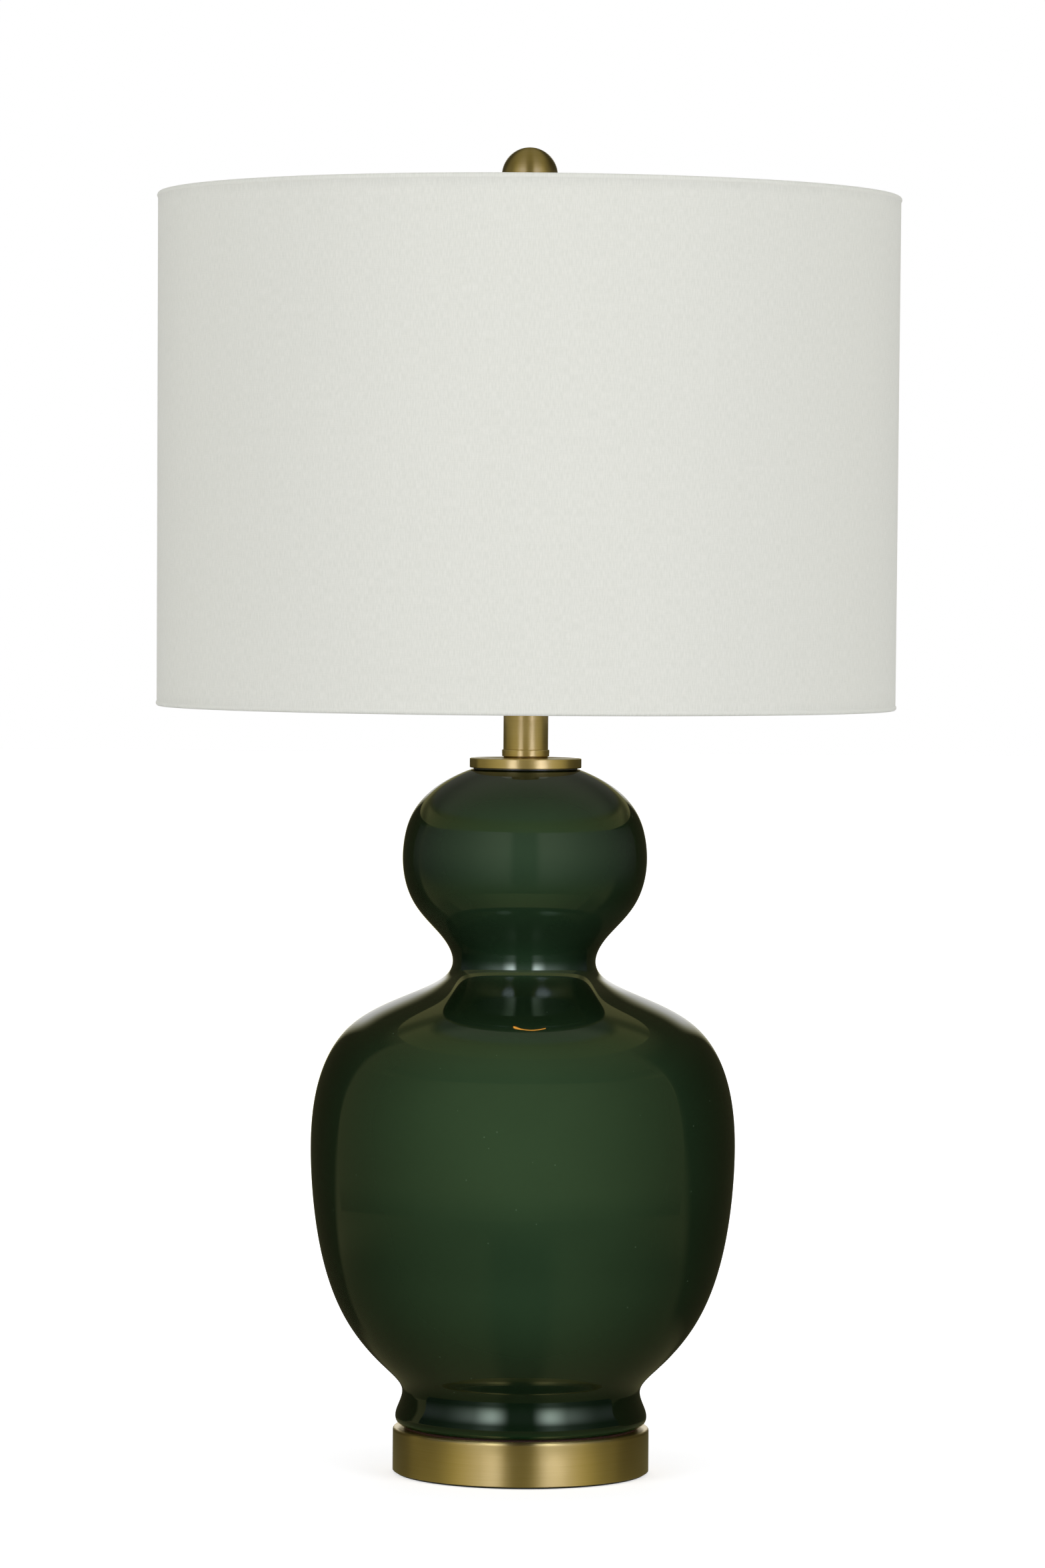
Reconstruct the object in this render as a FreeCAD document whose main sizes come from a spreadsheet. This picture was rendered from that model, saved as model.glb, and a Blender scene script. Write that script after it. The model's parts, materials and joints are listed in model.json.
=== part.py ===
import FreeCAD, Part
import Sketcher
import math
import os
import re

# Double gourd table lamp with a drum shade.
# Frame: millimetres, Z up, origin under the middle of the felt pad, front of the lamp towards -Y.

os.makedirs("parts", exist_ok=True)
doc = FreeCAD.newDocument("double_gourd_lamp")

# Driving dimensions, in millimetres and degrees, grouped by sub-part.
SIZES = [
    # Felt pad and the pressed brass cup that forms the base
    ("pad_thick", 2.0), ("pad_proud", 1.0), ("pad_clearance", 0.6),
    ("base_radius", 70.3), ("base_height", 23.8), ("base_sheet", 1.2), ("base_corner", 1.6),
    # Cast weight inside the cup
    ("weight_clearance", 0.4), ("weight_disc", 12.0), ("boss_radius", 20.0),
    ("recess_radius", 14.0), ("recess_depth", 10.0), ("cord_slot_width", 13.0),
    ("weight_bevel", 1.0),
    # Plastic bushing where a cord would leave the cup
    ("bushing_bore", 3.2), ("bushing_radius", 4.6), ("bushing_flange", 6.2),
    ("bushing_flange_thick", 1.5), ("bushing_snap", 5.1), ("bushing_snap_length", 3.0),
    ("bushing_fit", 0.1), ("bushing_snap_gap", 0.4),
    # Threaded centre pipe and the hardware clamped on it
    ("pipe_radius", 4.85), ("pipe_bore", 3.2), ("pipe_fit", 0.05), ("pipe_stick_out", 2.0),
    ("nut_flats", 14.3), ("nut_thick", 4.0), ("top_nut_thick", 3.5), ("nut_bevel", 0.6),
    ("flat_washer_radius", 11.0), ("flat_washer_thick", 1.2),
    ("lock_washer_radius", 8.0), ("lock_washer_thick", 1.6), ("lock_washer_split", 1.2),
    # Gasket and plug between the cup and the glass
    ("gasket_thick", 0.8), ("gasket_outer", 64.0), ("gasket_inner", 52.0),
    ("foot_hole", 15.0), ("plug_clearance", 0.3), ("foot_plug_flange", 20.0),
    ("foot_plug_depth", 6.0),
    # Glass outline: control points of one spline, each with its radius and its rise above the last
    ("foot_radius", 62.0), ("foot_edge_radius", 68.3), ("foot_side_radius", 71.1),
    ("foot_side_height", 6.7), ("cove_radius", 61.1), ("cove_rise", 14.0),
    ("skirt_radius", 77.9), ("skirt_rise", 12.8), ("belly_low_radius", 98.5),
    ("belly_low_rise", 23.9), ("belly_mid_radius", 111.6), ("belly_mid_rise", 36.0),
    ("belly_radius", 117.2), ("belly_rise", 47.1), ("belly_top_radius", 116.1),
    ("belly_top_rise", 44.6), ("shoulder_radius", 99.7), ("shoulder_rise", 36.3),
    ("shoulder_in_radius", 62.6), ("shoulder_in_rise", 15.1), ("waist_radius", 34.7),
    ("waist_rise", 12.1), ("bowl_low_radius", 42.7), ("bowl_low_rise", 19.8),
    ("bowl_mid_radius", 64.3), ("bowl_mid_rise", 17.2), ("bowl_radius", 70.3),
    ("bowl_rise", 35.5), ("crown_radius", 57.4), ("crown_rise", 29.0),
    ("mouth_rim_radius", 29.5), ("mouth_rise", 10.4),
    ("glass_wall", 3.5), ("mouth_radius", 26.0), ("mouth_lip", 2.5),
    # Plug in the mouth, neck plate, collar and tube
    ("mouth_flange_radius", 28.5), ("mouth_flange_thick", 0.6), ("mouth_plug_depth", 9.0),
    ("mouth_plug_wall", 2.0), ("neck_plate_radius", 30.65), ("neck_plate_thick", 5.3),
    ("neck_plate_edge", 0.5), ("collar_neck_radius", 12.1), ("collar_neck_height", 1.0),
    ("collar_radius", 12.95), ("collar_height", 3.7), ("collar_spigot", 4.0),
    ("tube_radius", 12.25), ("tube_wall", 1.0), ("tube_length", 60.3), ("tube_fit", 0.1),
    ("tube_cap_radius", 13.4), ("tube_cap_thick", 1.6), ("tube_cap_spigot", 3.0),
    # Harp saddle and the sleeves that lock the harp on it
    ("saddle_thick", 2.0), ("saddle_width", 16.0), ("leg_spacing", 55.0),
    ("ear_radius", 3.2), ("ear_height", 9.0), ("leg_fit", 0.1),
    ("sleeve_wall", 0.9), ("sleeve_length", 15.0), ("sleeve_gap", 0.3),
    # Harp wire and the stud in its eye
    ("harp_wire_radius", 1.95), ("harp_height", 224.0), ("harp_half_width", 54.0),
    ("leg_straight", 27.0), ("leg_bend_radius", 40.0), ("leg_splay", 24.0),
    ("bow_radius", 130.0), ("bow_lean", 14.0), ("crown_bend_radius", 26.0),
    ("eye_radius", 7.0), ("eye_thick", 4.4), ("stud_radius", 3.1), ("stud_shank", 2.6),
    ("stud_fit", 0.05), ("stud_shoulder_radius", 6.0), ("stud_shoulder_thick", 1.5),
    ("stud_head_radius", 4.6), ("stud_head_thick", 1.4), ("stud_length", 14.0),
    ("stud_play", 0.15),
    # Socket: cap, outer shell, card liner, body with the switch, screw shell
    ("cap_hub_radius", 8.0), ("cap_hub_height", 6.0), ("cap_height", 17.0), ("cap_sheet", 0.8),
    ("cap_rim", 6.0), ("shell_radius", 16.6), ("shell_sheet", 0.5), ("shell_length", 50.0),
    ("shell_fit", 0.1), ("shell_bead_radius", 1.5),
    ("shell_bead_width", 2.4), ("shell_bead_drop", 6.0),
    ("liner_thick", 0.8), ("liner_clearance", 0.2), ("liner_recess", 1.0),
    ("body_clearance", 0.3), ("body_height", 23.0), ("body_stem_radius", 6.5),
    ("body_stem_height", 4.0), ("terminal_flat_width", 9.0), ("terminal_flat_height", 10.0),
    ("terminal_recess", 4.0), ("screw_shell_clearance", 0.5), ("screw_shell_sheet", 0.4),
    ("screw_shell_length", 23.0), ("screw_shell_flare", 0.4), ("contact_width", 5.0),
    ("contact_length", 16.0), ("contact_sheet", 0.5), ("contact_rise", 2.2),
    ("terminal_head_radius", 2.8), ("terminal_head_thick", 1.6), ("terminal_shank", 1.5),
    ("terminal_shank_length", 3.0), ("set_screw_radius", 1.6), ("set_screw_length", 5.0),
    # Switch knob and its shaft
    ("shaft_radius", 1.6), ("shaft_fit", 0.08), ("shaft_reach", 38.0), ("shaft_root", 6.0),
    ("shaft_hole", 3.0), ("switch_height", 11.0), ("knob_radius", 6.6), ("knob_length", 15.0),
    ("knob_tip", 2.0), ("knob_edge", 1.2), ("knob_groove", 0.7), ("knob_grooves", 12),
    # Light bulb
    ("bulb_contact_gap", 0.3), ("bulb_contact_radius", 4.0), ("bulb_contact_thick", 1.2),
    ("bulb_seal_radius", 9.5), ("bulb_seal_height", 3.0), ("bulb_cap_radius", 13.1),
    ("bulb_cap_sheet", 0.4), ("bulb_cap_length", 22.0), ("bulb_neck_radius", 14.0),
    ("bulb_neck_height", 28.0), ("bulb_radius", 30.0), ("bulb_height", 108.0),
    ("bulb_glass_wall", 1.0), ("bulb_seat_fit", 0.15),
    # Drum shade
    ("shade_height", 279.4), ("shade_top_radius", 203.1), ("shade_draw", 0.7),
    ("shade_wall", 0.9), ("shade_wall_inset", 0.5), ("hem_radius", 1.65),
    ("hem_cloth", 0.35), ("hem_tail", 60.0), ("ring_clearance", 0.2),
    ("seam_width", 12.0), ("seam_thick", 0.4), ("seam_end", 5.0),
    ("arm_radius", 1.4), ("arm_notch", 0.5), ("arm_tail", 6.0), ("arm_count", 3),
    ("arm_angle", 90.0), ("spider_drop", 8.4), ("hub_radius", 14.0), ("hub_thick", 1.6),
    ("hub_hole", 5.6), ("hub_seat", 0.2),
    # Finial: ball on a turned foot
    ("finial_ball_radius", 15.3), ("finial_foot_radius", 8.0), ("finial_foot_height", 2.2),
    ("finial_neck_radius", 5.6), ("finial_neck_height", 13.6), ("finial_bore_depth", 12.6),
    ("finial_ball_rise", 19.4), ("finial_bore_fit", 0.1), ("finial_seat", 0.15),
    ("finial_neck_fit", 0.03),
]

# Heights of the glass outline's control points above its foot, then of the whole stack from the
# floor up, and the shade's lower radius, each worked out from the sizes.
LEVELS = [
    ("cove_height", "foot_side_height + cove_rise"),
    ("skirt_height", "cove_height + skirt_rise"),
    ("belly_low_height", "skirt_height + belly_low_rise"),
    ("belly_mid_height", "belly_low_height + belly_mid_rise"),
    ("belly_height", "belly_mid_height + belly_rise"),
    ("belly_top_height", "belly_height + belly_top_rise"),
    ("shoulder_height", "belly_top_height + shoulder_rise"),
    ("shoulder_in_height", "shoulder_height + shoulder_in_rise"),
    ("waist_height", "shoulder_in_height + waist_rise"),
    ("bowl_low_height", "waist_height + bowl_low_rise"),
    ("bowl_mid_height", "bowl_low_height + bowl_mid_rise"),
    ("bowl_height", "bowl_mid_height + bowl_rise"),
    ("crown_height", "bowl_height + crown_rise"),
    ("mouth_height", "crown_height + mouth_rise"),
    ("pad_top", "pad_thick"),
    ("base_rim", "pad_proud"),
    ("plate_under", "base_rim + base_height - base_sheet"),
    ("base_top", "base_rim + base_height"),
    ("recess_top", "pad_top + recess_depth"),
    ("flat_washer_low", "recess_top - flat_washer_thick"),
    ("lock_washer_low", "flat_washer_low - lock_washer_thick"),
    ("bottom_nut_low", "lock_washer_low - nut_thick"),
    ("pipe_low", "bottom_nut_low - pipe_stick_out"),
    ("cord_height", "pad_top + weight_disc / 2"),
    ("glass_foot", "base_top + gasket_thick"),
    ("glass_top", "glass_foot + mouth_height"),
    ("plate_low", "glass_top + mouth_flange_thick"),
    ("plate_top", "plate_low + neck_plate_thick"),
    ("tube_low", "plate_top + collar_neck_height + collar_height"),
    ("tube_top", "tube_low + tube_length"),
    ("saddle_low", "tube_top + tube_cap_thick"),
    ("saddle_top", "saddle_low + saddle_thick"),
    ("cap_low", "saddle_top + top_nut_thick"),
    ("cap_top", "cap_low + cap_height"),
    ("shell_low", "cap_top - cap_rim"),
    ("body_low", "cap_low + cap_hub_height + cap_sheet + body_clearance"),
    ("body_block", "body_low + body_stem_height"),
    ("switch_axis", "body_block + switch_height"),
    ("body_top", "body_block + body_height"),
    ("contact_top", "body_top + contact_rise"),
    ("bulb_low", "contact_top + bulb_contact_gap"),
    ("leg_low", "saddle_top + sleeve_gap"),
    ("harp_top", "leg_low + harp_height"),
    ("eye_top", "harp_top + eye_thick / 2"),
    ("shoulder_top", "eye_top + stud_play + stud_shoulder_thick"),
    ("hub_low", "shoulder_top + hub_seat"),
    ("hub_top", "hub_low + hub_thick"),
    ("finial_low", "hub_top + finial_seat"),
    ("shade_high", "hub_top + spider_drop"),
    ("shade_low", "shade_high - shade_height"),
    ("shade_bottom_radius", "shade_top_radius - shade_draw"),
]


NAMES = {alias: "Sizes." + alias for alias, number in SIZES}
NAMES.update({alias: "Levels." + alias for alias, formula in LEVELS})


def bound(text):
    """Turn the plain names in an expression into references to the sheets."""
    return re.sub(r"[a-z][a-z_]*", lambda match: NAMES.get(match.group(), match.group()), text)


def make_sheets():
    """Write the sizes as plain numbers and the stack heights as formulas."""
    sizes = doc.addObject("Spreadsheet::Sheet", "Sizes")
    for row, (alias, number) in enumerate(SIZES, start=1):
        sizes.set("A%d" % row, str(number))
        sizes.setAlias("A%d" % row, alias)
    levels = doc.addObject("Spreadsheet::Sheet", "Levels")
    for row, (alias, formula) in enumerate(LEVELS, start=1):
        levels.set("A%d" % row, "=" + bound(formula))
        levels.setAlias("A%d" % row, alias)
    doc.recompute()
    return sizes


sheet = make_sheets()


def value(text):
    """Number that an expression gives with the present sizes."""
    return float(sheet.evalExpression(bound(text)))


def new_body(label, level="0", turn=None):
    """Start a sub-part; level is the height of its own origin above the floor."""
    body = doc.addObject("PartDesign::Body", "Body_" + label)
    body.Label = label
    if turn is not None:
        body.Placement = FreeCAD.Placement(FreeCAD.Vector(0, 0, 0), turn)
    if level != "0":
        body.setExpression("Placement.Base.z", bound(level))
    return body


def new_sketch(body, role="XZ_Plane", offset=None):
    """Attach a sketch to one of the body's own origin planes."""
    sketch = body.newObject("Sketcher::SketchObject", body.Label + "_sketch")
    plane = [item for item in body.Origin.OriginFeatures if item.Role == role][0]
    sketch.AttachmentSupport = (plane, [""])
    sketch.MapMode = "FlatFace"
    if offset is not None:
        sketch.setExpression("AttachmentOffset.Base.z", bound(offset))
    return sketch


def tie(sketch, geometry, end, x_text, y_text):
    """Tie one point of the sketch to the sizes, or to an axis where it lies on one."""
    for kind, text, axis in (("DistanceX", x_text, -2), ("DistanceY", y_text, -1)):
        if text == "0":
            sketch.addConstraint(Sketcher.Constraint("PointOnObject", geometry, end, axis))
            continue
        index = sketch.addConstraint(Sketcher.Constraint(kind, -1, 1, geometry, end, value(text)))
        sketch.setExpression("Constraints[%d]" % index, bound(text))


def arc_between(start, end, radius, turn):
    """Arc under half a turn from start to end, turning left or right on the way."""
    chord = end - start
    half = chord.Length / 2
    rise = math.sqrt(max(radius * radius - half * half, 0.0))
    side = FreeCAD.Vector(-chord.y, chord.x, 0).normalize()
    if turn == "right":
        side = -side
    centre = (start + end) * 0.5 + side * rise
    first, last = (start, end) if turn == "left" else (end, start)
    angles = [math.atan2(point.y - centre.y, point.x - centre.x) for point in (first, last)]
    circle = Part.Circle(centre, FreeCAD.Vector(0, 0, 1), radius)
    return Part.ArcOfCircle(circle, angles[0], angles[1])


def outline(sketch, corners, closed=True):
    """Draw lines and arcs through corners, each (x, y) or (x, y, arc radius, turn)."""
    points = [FreeCAD.Vector(value(corner[0]), value(corner[1]), 0) for corner in corners]
    count = len(corners) if closed else len(corners) - 1
    pieces = []
    for index in range(count):
        corner = corners[index]
        start, end = points[index], points[(index + 1) % len(points)]
        if len(corner) == 2:
            pieces.append((sketch.addGeometry(Part.LineSegment(start, end), False), 1, 2))
            continue
        arc = sketch.addGeometry(arc_between(start, end, value(corner[2]), corner[3]), False)
        ends = (1, 2) if corner[3] == "left" else (2, 1)
        pieces.append((arc,) + ends)
    for index, (geometry, first, last) in enumerate(pieces):
        if closed or index + 1 < count:
            following = pieces[(index + 1) % len(pieces)]
            sketch.addConstraint(
                Sketcher.Constraint("Coincident", geometry, last, following[0], following[1]))
        tie(sketch, geometry, first, corners[index][0], corners[index][1])
    if not closed:
        tie(sketch, pieces[-1][0], pieces[-1][2], corners[-1][0], corners[-1][1])
    for index in range(count):
        if len(corners[index]) > 2:
            radius = corners[index][2]
            limit = Sketcher.Constraint("Radius", pieces[index][0], value(radius))
            place = sketch.addConstraint(limit)
            sketch.setExpression("Constraints[%d]" % place, bound(radius))
    return pieces


def circle(sketch, x_text, y_text, radius):
    """Draw a circle tied to the sizes."""
    centre = FreeCAD.Vector(value(x_text), value(y_text), 0)
    shape = Part.Circle(centre, FreeCAD.Vector(0, 0, 1), value(radius))
    geometry = sketch.addGeometry(shape, False)
    if x_text == "0" and y_text == "0":
        sketch.addConstraint(Sketcher.Constraint("Coincident", geometry, 3, -1, 1))
    else:
        tie(sketch, geometry, 3, x_text, y_text)
    place = sketch.addConstraint(Sketcher.Constraint("Radius", geometry, value(radius)))
    sketch.setExpression("Constraints[%d]" % place, bound(radius))


def spline_outline(sketch, poles, corners):
    """Close a spline, steered by its control points, with lines through the corners."""
    points = [FreeCAD.Vector(value(x), value(y), 0) for x, y in poles]
    spans = len(points) - 3
    curve = Part.BSplineCurve()
    multiplicities = [4] + [1] * (spans - 1) + [4]
    knots = [float(index) for index in range(spans + 1)]
    curve.buildFromPolesMultsKnots(points, multiplicities, knots, False, 3)
    spline = sketch.addGeometry(curve, False)
    first_handle = None
    for index, (x_text, y_text) in enumerate(poles):
        mark = Part.Circle(points[index], FreeCAD.Vector(0, 0, 1), 1.0)
        handle = sketch.addGeometry(mark, True)
        align = "InternalAlignment:Sketcher::BSplineControlPoint"
        sketch.addConstraint(Sketcher.Constraint(align, handle, 3, spline, index))
        if first_handle is None:
            first_handle = handle
            sketch.addConstraint(Sketcher.Constraint("Weight", handle, 1.0))
        else:
            sketch.addConstraint(Sketcher.Constraint("Equal", first_handle, handle))
        tie(sketch, handle, 3, x_text, y_text)
    previous = (spline, 2)
    route = [poles[-1]] + list(corners) + [poles[0]]
    for index in range(len(route) - 1):
        start = FreeCAD.Vector(value(route[index][0]), value(route[index][1]), 0)
        end = FreeCAD.Vector(value(route[index + 1][0]), value(route[index + 1][1]), 0)
        line = sketch.addGeometry(Part.LineSegment(start, end), False)
        sketch.addConstraint(Sketcher.Constraint("Coincident", previous[0], previous[1], line, 1))
        if index > 0:
            tie(sketch, line, 1, route[index][0], route[index][1])
        previous = (line, 2)
    sketch.addConstraint(Sketcher.Constraint("Coincident", previous[0], previous[1], spline, 1))


def inner_poles(poles, wall, ends):
    """Move the inner control points of a spline to its left by the wall, between two given ends."""
    moved = [ends[0]]
    for before, here, after in zip(poles, poles[1:], poles[2:]):
        run = "(%s - (%s))" % (after[0], before[0])
        rise = "(%s - (%s))" % (after[1], before[1])
        length = "sqrt(%s^2 + %s^2)" % (run, rise)
        x_text = "%s - %s * %s / %s" % (here[0], wall, rise, length)
        y_text = "%s + %s * %s / %s" % (here[1], wall, run, length)
        moved.append((x_text, y_text))
    moved.append(ends[1])
    return moved


def feature(body, kind, sketch):
    """Add a sketch-based feature to a body."""
    item = body.newObject("PartDesign::" + kind, "%s_%s" % (body.Label, kind.lower()))
    item.Profile = (sketch, [""])
    return item


def revolve(body, sketch, kind="Revolution"):
    """Turn or groove a sketch once round the body's upright axis."""
    item = feature(body, kind, sketch)
    item.ReferenceAxis = (sketch, ["V_Axis"])
    item.Angle = 360
    return item


def pad(body, sketch, length):
    """Raise a sketch by a length."""
    item = feature(body, "Pad", sketch)
    item.setExpression("Length", bound(length))
    return item


def cut(body, sketch, length=None, forward=False):
    """Cut a sketch through all or to a length; forward is the side the sketch faces."""
    item = feature(body, "Pocket", sketch)
    if length is None:
        item.Type = "ThroughAll"
    else:
        item.setExpression("Length", bound(length))
    item.Reversed = forward
    return item


def repeat(body, original, count):
    """Repeat a feature round the body's upright axis."""
    axis = [item for item in body.Origin.OriginFeatures if item.Role == "Z_Axis"][0]
    pattern = body.newObject("PartDesign::PolarPattern", body.Label + "_pattern")
    pattern.Originals = [original]
    pattern.Axis = (axis, [""])
    pattern.Angle = 360
    pattern.setExpression("Occurrences", bound(count))
    body.Tip = pattern
    return pattern


def turned(label, level, corners, turn=None):
    """Sub-part turned from one outline of lines and arcs."""
    body = new_body(label, level, turn)
    sketch = new_sketch(body)
    outline(sketch, corners)
    revolve(body, sketch)
    return body


def ring(label, level, inner, outer, thick):
    """Flat ring or sleeve, standing on its level."""
    corners = [(inner, "0"), (outer, "0"), (outer, thick), (inner, thick)]
    return turned(label, level, corners)


def box_outline(x_low, y_low, x_high, y_high):
    """Corners of an upright rectangle."""
    return [(x_low, y_low), (x_high, y_low), (x_high, y_high), (x_low, y_high)]


BACKWARD = FreeCAD.Rotation(FreeCAD.Vector(1, 0, 0), -90)
FORWARD = FreeCAD.Rotation(FreeCAD.Vector(1, 0, 0), 90)
PIPE_HOLE = "pipe_radius + pipe_fit"


def make_base():
    """Felt pad, cast weight and pressed cup."""
    pad_radius = "base_radius - base_sheet - pad_clearance"
    turned("base_pad", "0",
           [("0", "0"), (pad_radius, "0"), (pad_radius, "pad_thick"), ("0", "pad_thick")])

    rim = "base_radius - base_sheet - weight_clearance"
    height = "plate_under - pad_top"
    weight = turned("base_weight", "pad_top", [
        ("recess_radius", "0"), (rim + " - weight_bevel", "0"), (rim, "weight_bevel"),
        (rim, "weight_disc - weight_bevel"), (rim + " - weight_bevel", "weight_disc"),
        ("boss_radius", "weight_disc"), ("boss_radius", height), (PIPE_HOLE, height),
        (PIPE_HOLE, "recess_depth"), ("recess_radius", "recess_depth")])
    slot = new_sketch(weight, "XY_Plane")
    outline(slot, box_outline("-cord_slot_width / 2", "0", "cord_slot_width / 2", "base_radius"))
    cut(weight, slot, "weight_disc", forward=True)

    wall = "base_radius - base_sheet"
    shell = turned("base_shell", "base_rim", [
        (PIPE_HOLE, "base_height - base_sheet"), (wall, "base_height - base_sheet"),
        (wall, "0"), ("base_radius", "0"),
        ("base_radius", "base_height - base_corner", "base_corner", "left"),
        ("base_radius - base_corner", "base_height"), (PIPE_HOLE, "base_height")])
    hole = new_sketch(shell)
    circle(hole, "0", "cord_height - base_rim", "bushing_radius + bushing_fit")
    cut(shell, hole)


def make_bushing():
    """Snap-in bushing in the rear wall of the cup, for the cord to leave through."""
    inside = "-(base_sheet + bushing_snap_gap)"
    end = "-(base_sheet + bushing_snap_gap + bushing_snap_length)"
    body = turned("cord_bushing", "cord_height", [
        ("bushing_bore", end), ("bushing_radius - bushing_fit", end), ("bushing_snap", inside),
        ("bushing_radius", inside), ("bushing_radius", "bushing_fit"),
        ("bushing_flange", "bushing_fit"), ("bushing_flange", "bushing_flange_thick"),
        ("bushing_bore", "bushing_flange_thick")], BACKWARD)
    body.setExpression("Placement.Base.y", bound("base_radius"))


def make_nut(label, level, thick):
    """Hexagon nut on the centre pipe, its corners bevelled by a turned cut."""
    body = new_body(label, level)
    sketch = new_sketch(body, "XY_Plane")
    reach = "nut_flats / (2 * cos(30))"
    corners = []
    for step in range(6):
        angle = 60 * step
        corners.append(("%s * cos(%d)" % (reach, angle), "%s * sin(%d)" % (reach, angle)))
    corners[0] = (corners[0][0], "0")
    corners[3] = (corners[3][0], "0")
    outline(sketch, corners)
    pad(body, sketch, thick)
    hole = new_sketch(body, "XY_Plane")
    circle(hole, "0", "0", PIPE_HOLE)
    cut(body, hole, thick, forward=True)
    bevel = new_sketch(body)
    flat = "nut_flats / 2"
    outline(bevel, [
        (flat, thick), (reach + " + nut_bevel", thick),
        (reach + " + nut_bevel", thick + " - nut_bevel"),
        (flat + " + nut_bevel * 2", thick + " - nut_bevel")])
    revolve(body, bevel, "Groove")


def make_clamp_hardware():
    """Centre pipe, washers and nuts that hold the whole stack together."""
    ring("flat_washer", "flat_washer_low", PIPE_HOLE, "flat_washer_radius", "flat_washer_thick")
    lock = ring("lock_washer", "lock_washer_low", PIPE_HOLE, "lock_washer_radius",
                "lock_washer_thick")
    split = new_sketch(lock, "XY_Plane")
    outline(split, box_outline("-lock_washer_split / 2", "-lock_washer_radius * 1.2",
                               "lock_washer_split / 2", "0"))
    cut(lock, split, forward=True)
    make_nut("bottom_nut", "bottom_nut_low", "nut_thick")
    make_nut("saddle_nut", "saddle_top", "top_nut_thick")
    ring("centre_pipe", "pipe_low", "pipe_bore", "pipe_radius",
         "cap_low + cap_hub_height - pipe_low")


def make_foot_seat():
    """Gasket and centring plug between the cup and the glass."""
    ring("foot_gasket", "base_top", "gasket_inner", "gasket_outer", "gasket_thick")
    barrel = "foot_hole - plug_clearance"
    turned("foot_plug", "base_top", [
        (PIPE_HOLE, "0"), ("foot_plug_flange", "0"), ("foot_plug_flange", "gasket_thick"),
        (barrel, "gasket_thick"), (barrel, "gasket_thick + foot_plug_depth"),
        (PIPE_HOLE, "gasket_thick + foot_plug_depth")])


GOURD = [
    ("foot_radius", "0"), ("foot_edge_radius", "0"), ("foot_side_radius", "foot_side_height"),
    ("cove_radius", "cove_height"), ("skirt_radius", "skirt_height"),
    ("belly_low_radius", "belly_low_height"), ("belly_mid_radius", "belly_mid_height"),
    ("belly_radius", "belly_height"), ("belly_top_radius", "belly_top_height"),
    ("shoulder_radius", "shoulder_height"), ("shoulder_in_radius", "shoulder_in_height"),
    ("waist_radius", "waist_height"), ("bowl_low_radius", "bowl_low_height"),
    ("bowl_mid_radius", "bowl_mid_height"), ("bowl_radius", "bowl_height"),
    ("crown_radius", "crown_height"), ("mouth_rim_radius", "mouth_height"),
]


def make_gourd():
    """Hollow glass body: a spline outline turned solid, then hollowed by a second spline."""
    body = new_body("gourd_body", "glass_foot")
    outside = new_sketch(body)
    spline_outline(outside, GOURD, [("0", "mouth_height"), ("0", "0")])
    revolve(body, outside)
    hollow = new_sketch(body)
    ends = (("foot_radius", "glass_wall"), ("mouth_radius", "mouth_height - mouth_lip"))
    inside = inner_poles(GOURD, "glass_wall", ends)
    spline_outline(hollow, inside, [
        ("mouth_radius", "mouth_height"), ("0", "mouth_height"), ("0", "glass_wall")])
    revolve(body, hollow, "Groove")
    hole = new_sketch(body, "XY_Plane")
    circle(hole, "0", "0", "foot_hole")
    cut(body, hole, "glass_wall * 2", forward=True)


def make_neck():
    """Mouth plug, neck plate, collar, tube and the cap on the tube."""
    barrel = "mouth_radius - plug_clearance"
    turned("mouth_plug", "glass_top", [
        (PIPE_HOLE, "-mouth_plug_wall"), (barrel + " - mouth_plug_wall", "-mouth_plug_wall"),
        (barrel + " - mouth_plug_wall", "-mouth_plug_depth"), (barrel, "-mouth_plug_depth"),
        (barrel, "0"), ("mouth_flange_radius", "0"),
        ("mouth_flange_radius", "mouth_flange_thick"), (PIPE_HOLE, "mouth_flange_thick")])
    edge = "neck_plate_radius - neck_plate_edge"
    top = "neck_plate_thick"
    turned("neck_plate", "plate_low", [
        (PIPE_HOLE, "0"), (edge, "0", "neck_plate_edge", "left"),
        ("neck_plate_radius", "neck_plate_edge"),
        ("neck_plate_radius", top + " - neck_plate_edge", "neck_plate_edge", "left"),
        (edge, top), (PIPE_HOLE, top)])
    spigot = "tube_radius - tube_wall - tube_fit"
    shoulder = "collar_neck_height + collar_height"
    turned("neck_collar", "plate_top", [
        (PIPE_HOLE, "0"), ("collar_neck_radius", "0"),
        ("collar_neck_radius", "collar_neck_height"), ("collar_radius", "collar_neck_height"),
        ("collar_radius", shoulder), (spigot, shoulder),
        (spigot, shoulder + " + collar_spigot"), (PIPE_HOLE, shoulder + " + collar_spigot")])
    ring("neck_tube", "tube_low", "tube_radius - tube_wall", "tube_radius", "tube_length")
    turned("tube_cap", "tube_top", [
        (PIPE_HOLE, "-tube_cap_spigot"), (spigot, "-tube_cap_spigot"), (spigot, "0"),
        ("tube_cap_radius", "0"), ("tube_cap_radius", "tube_cap_thick"),
        (PIPE_HOLE, "tube_cap_thick")])


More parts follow.
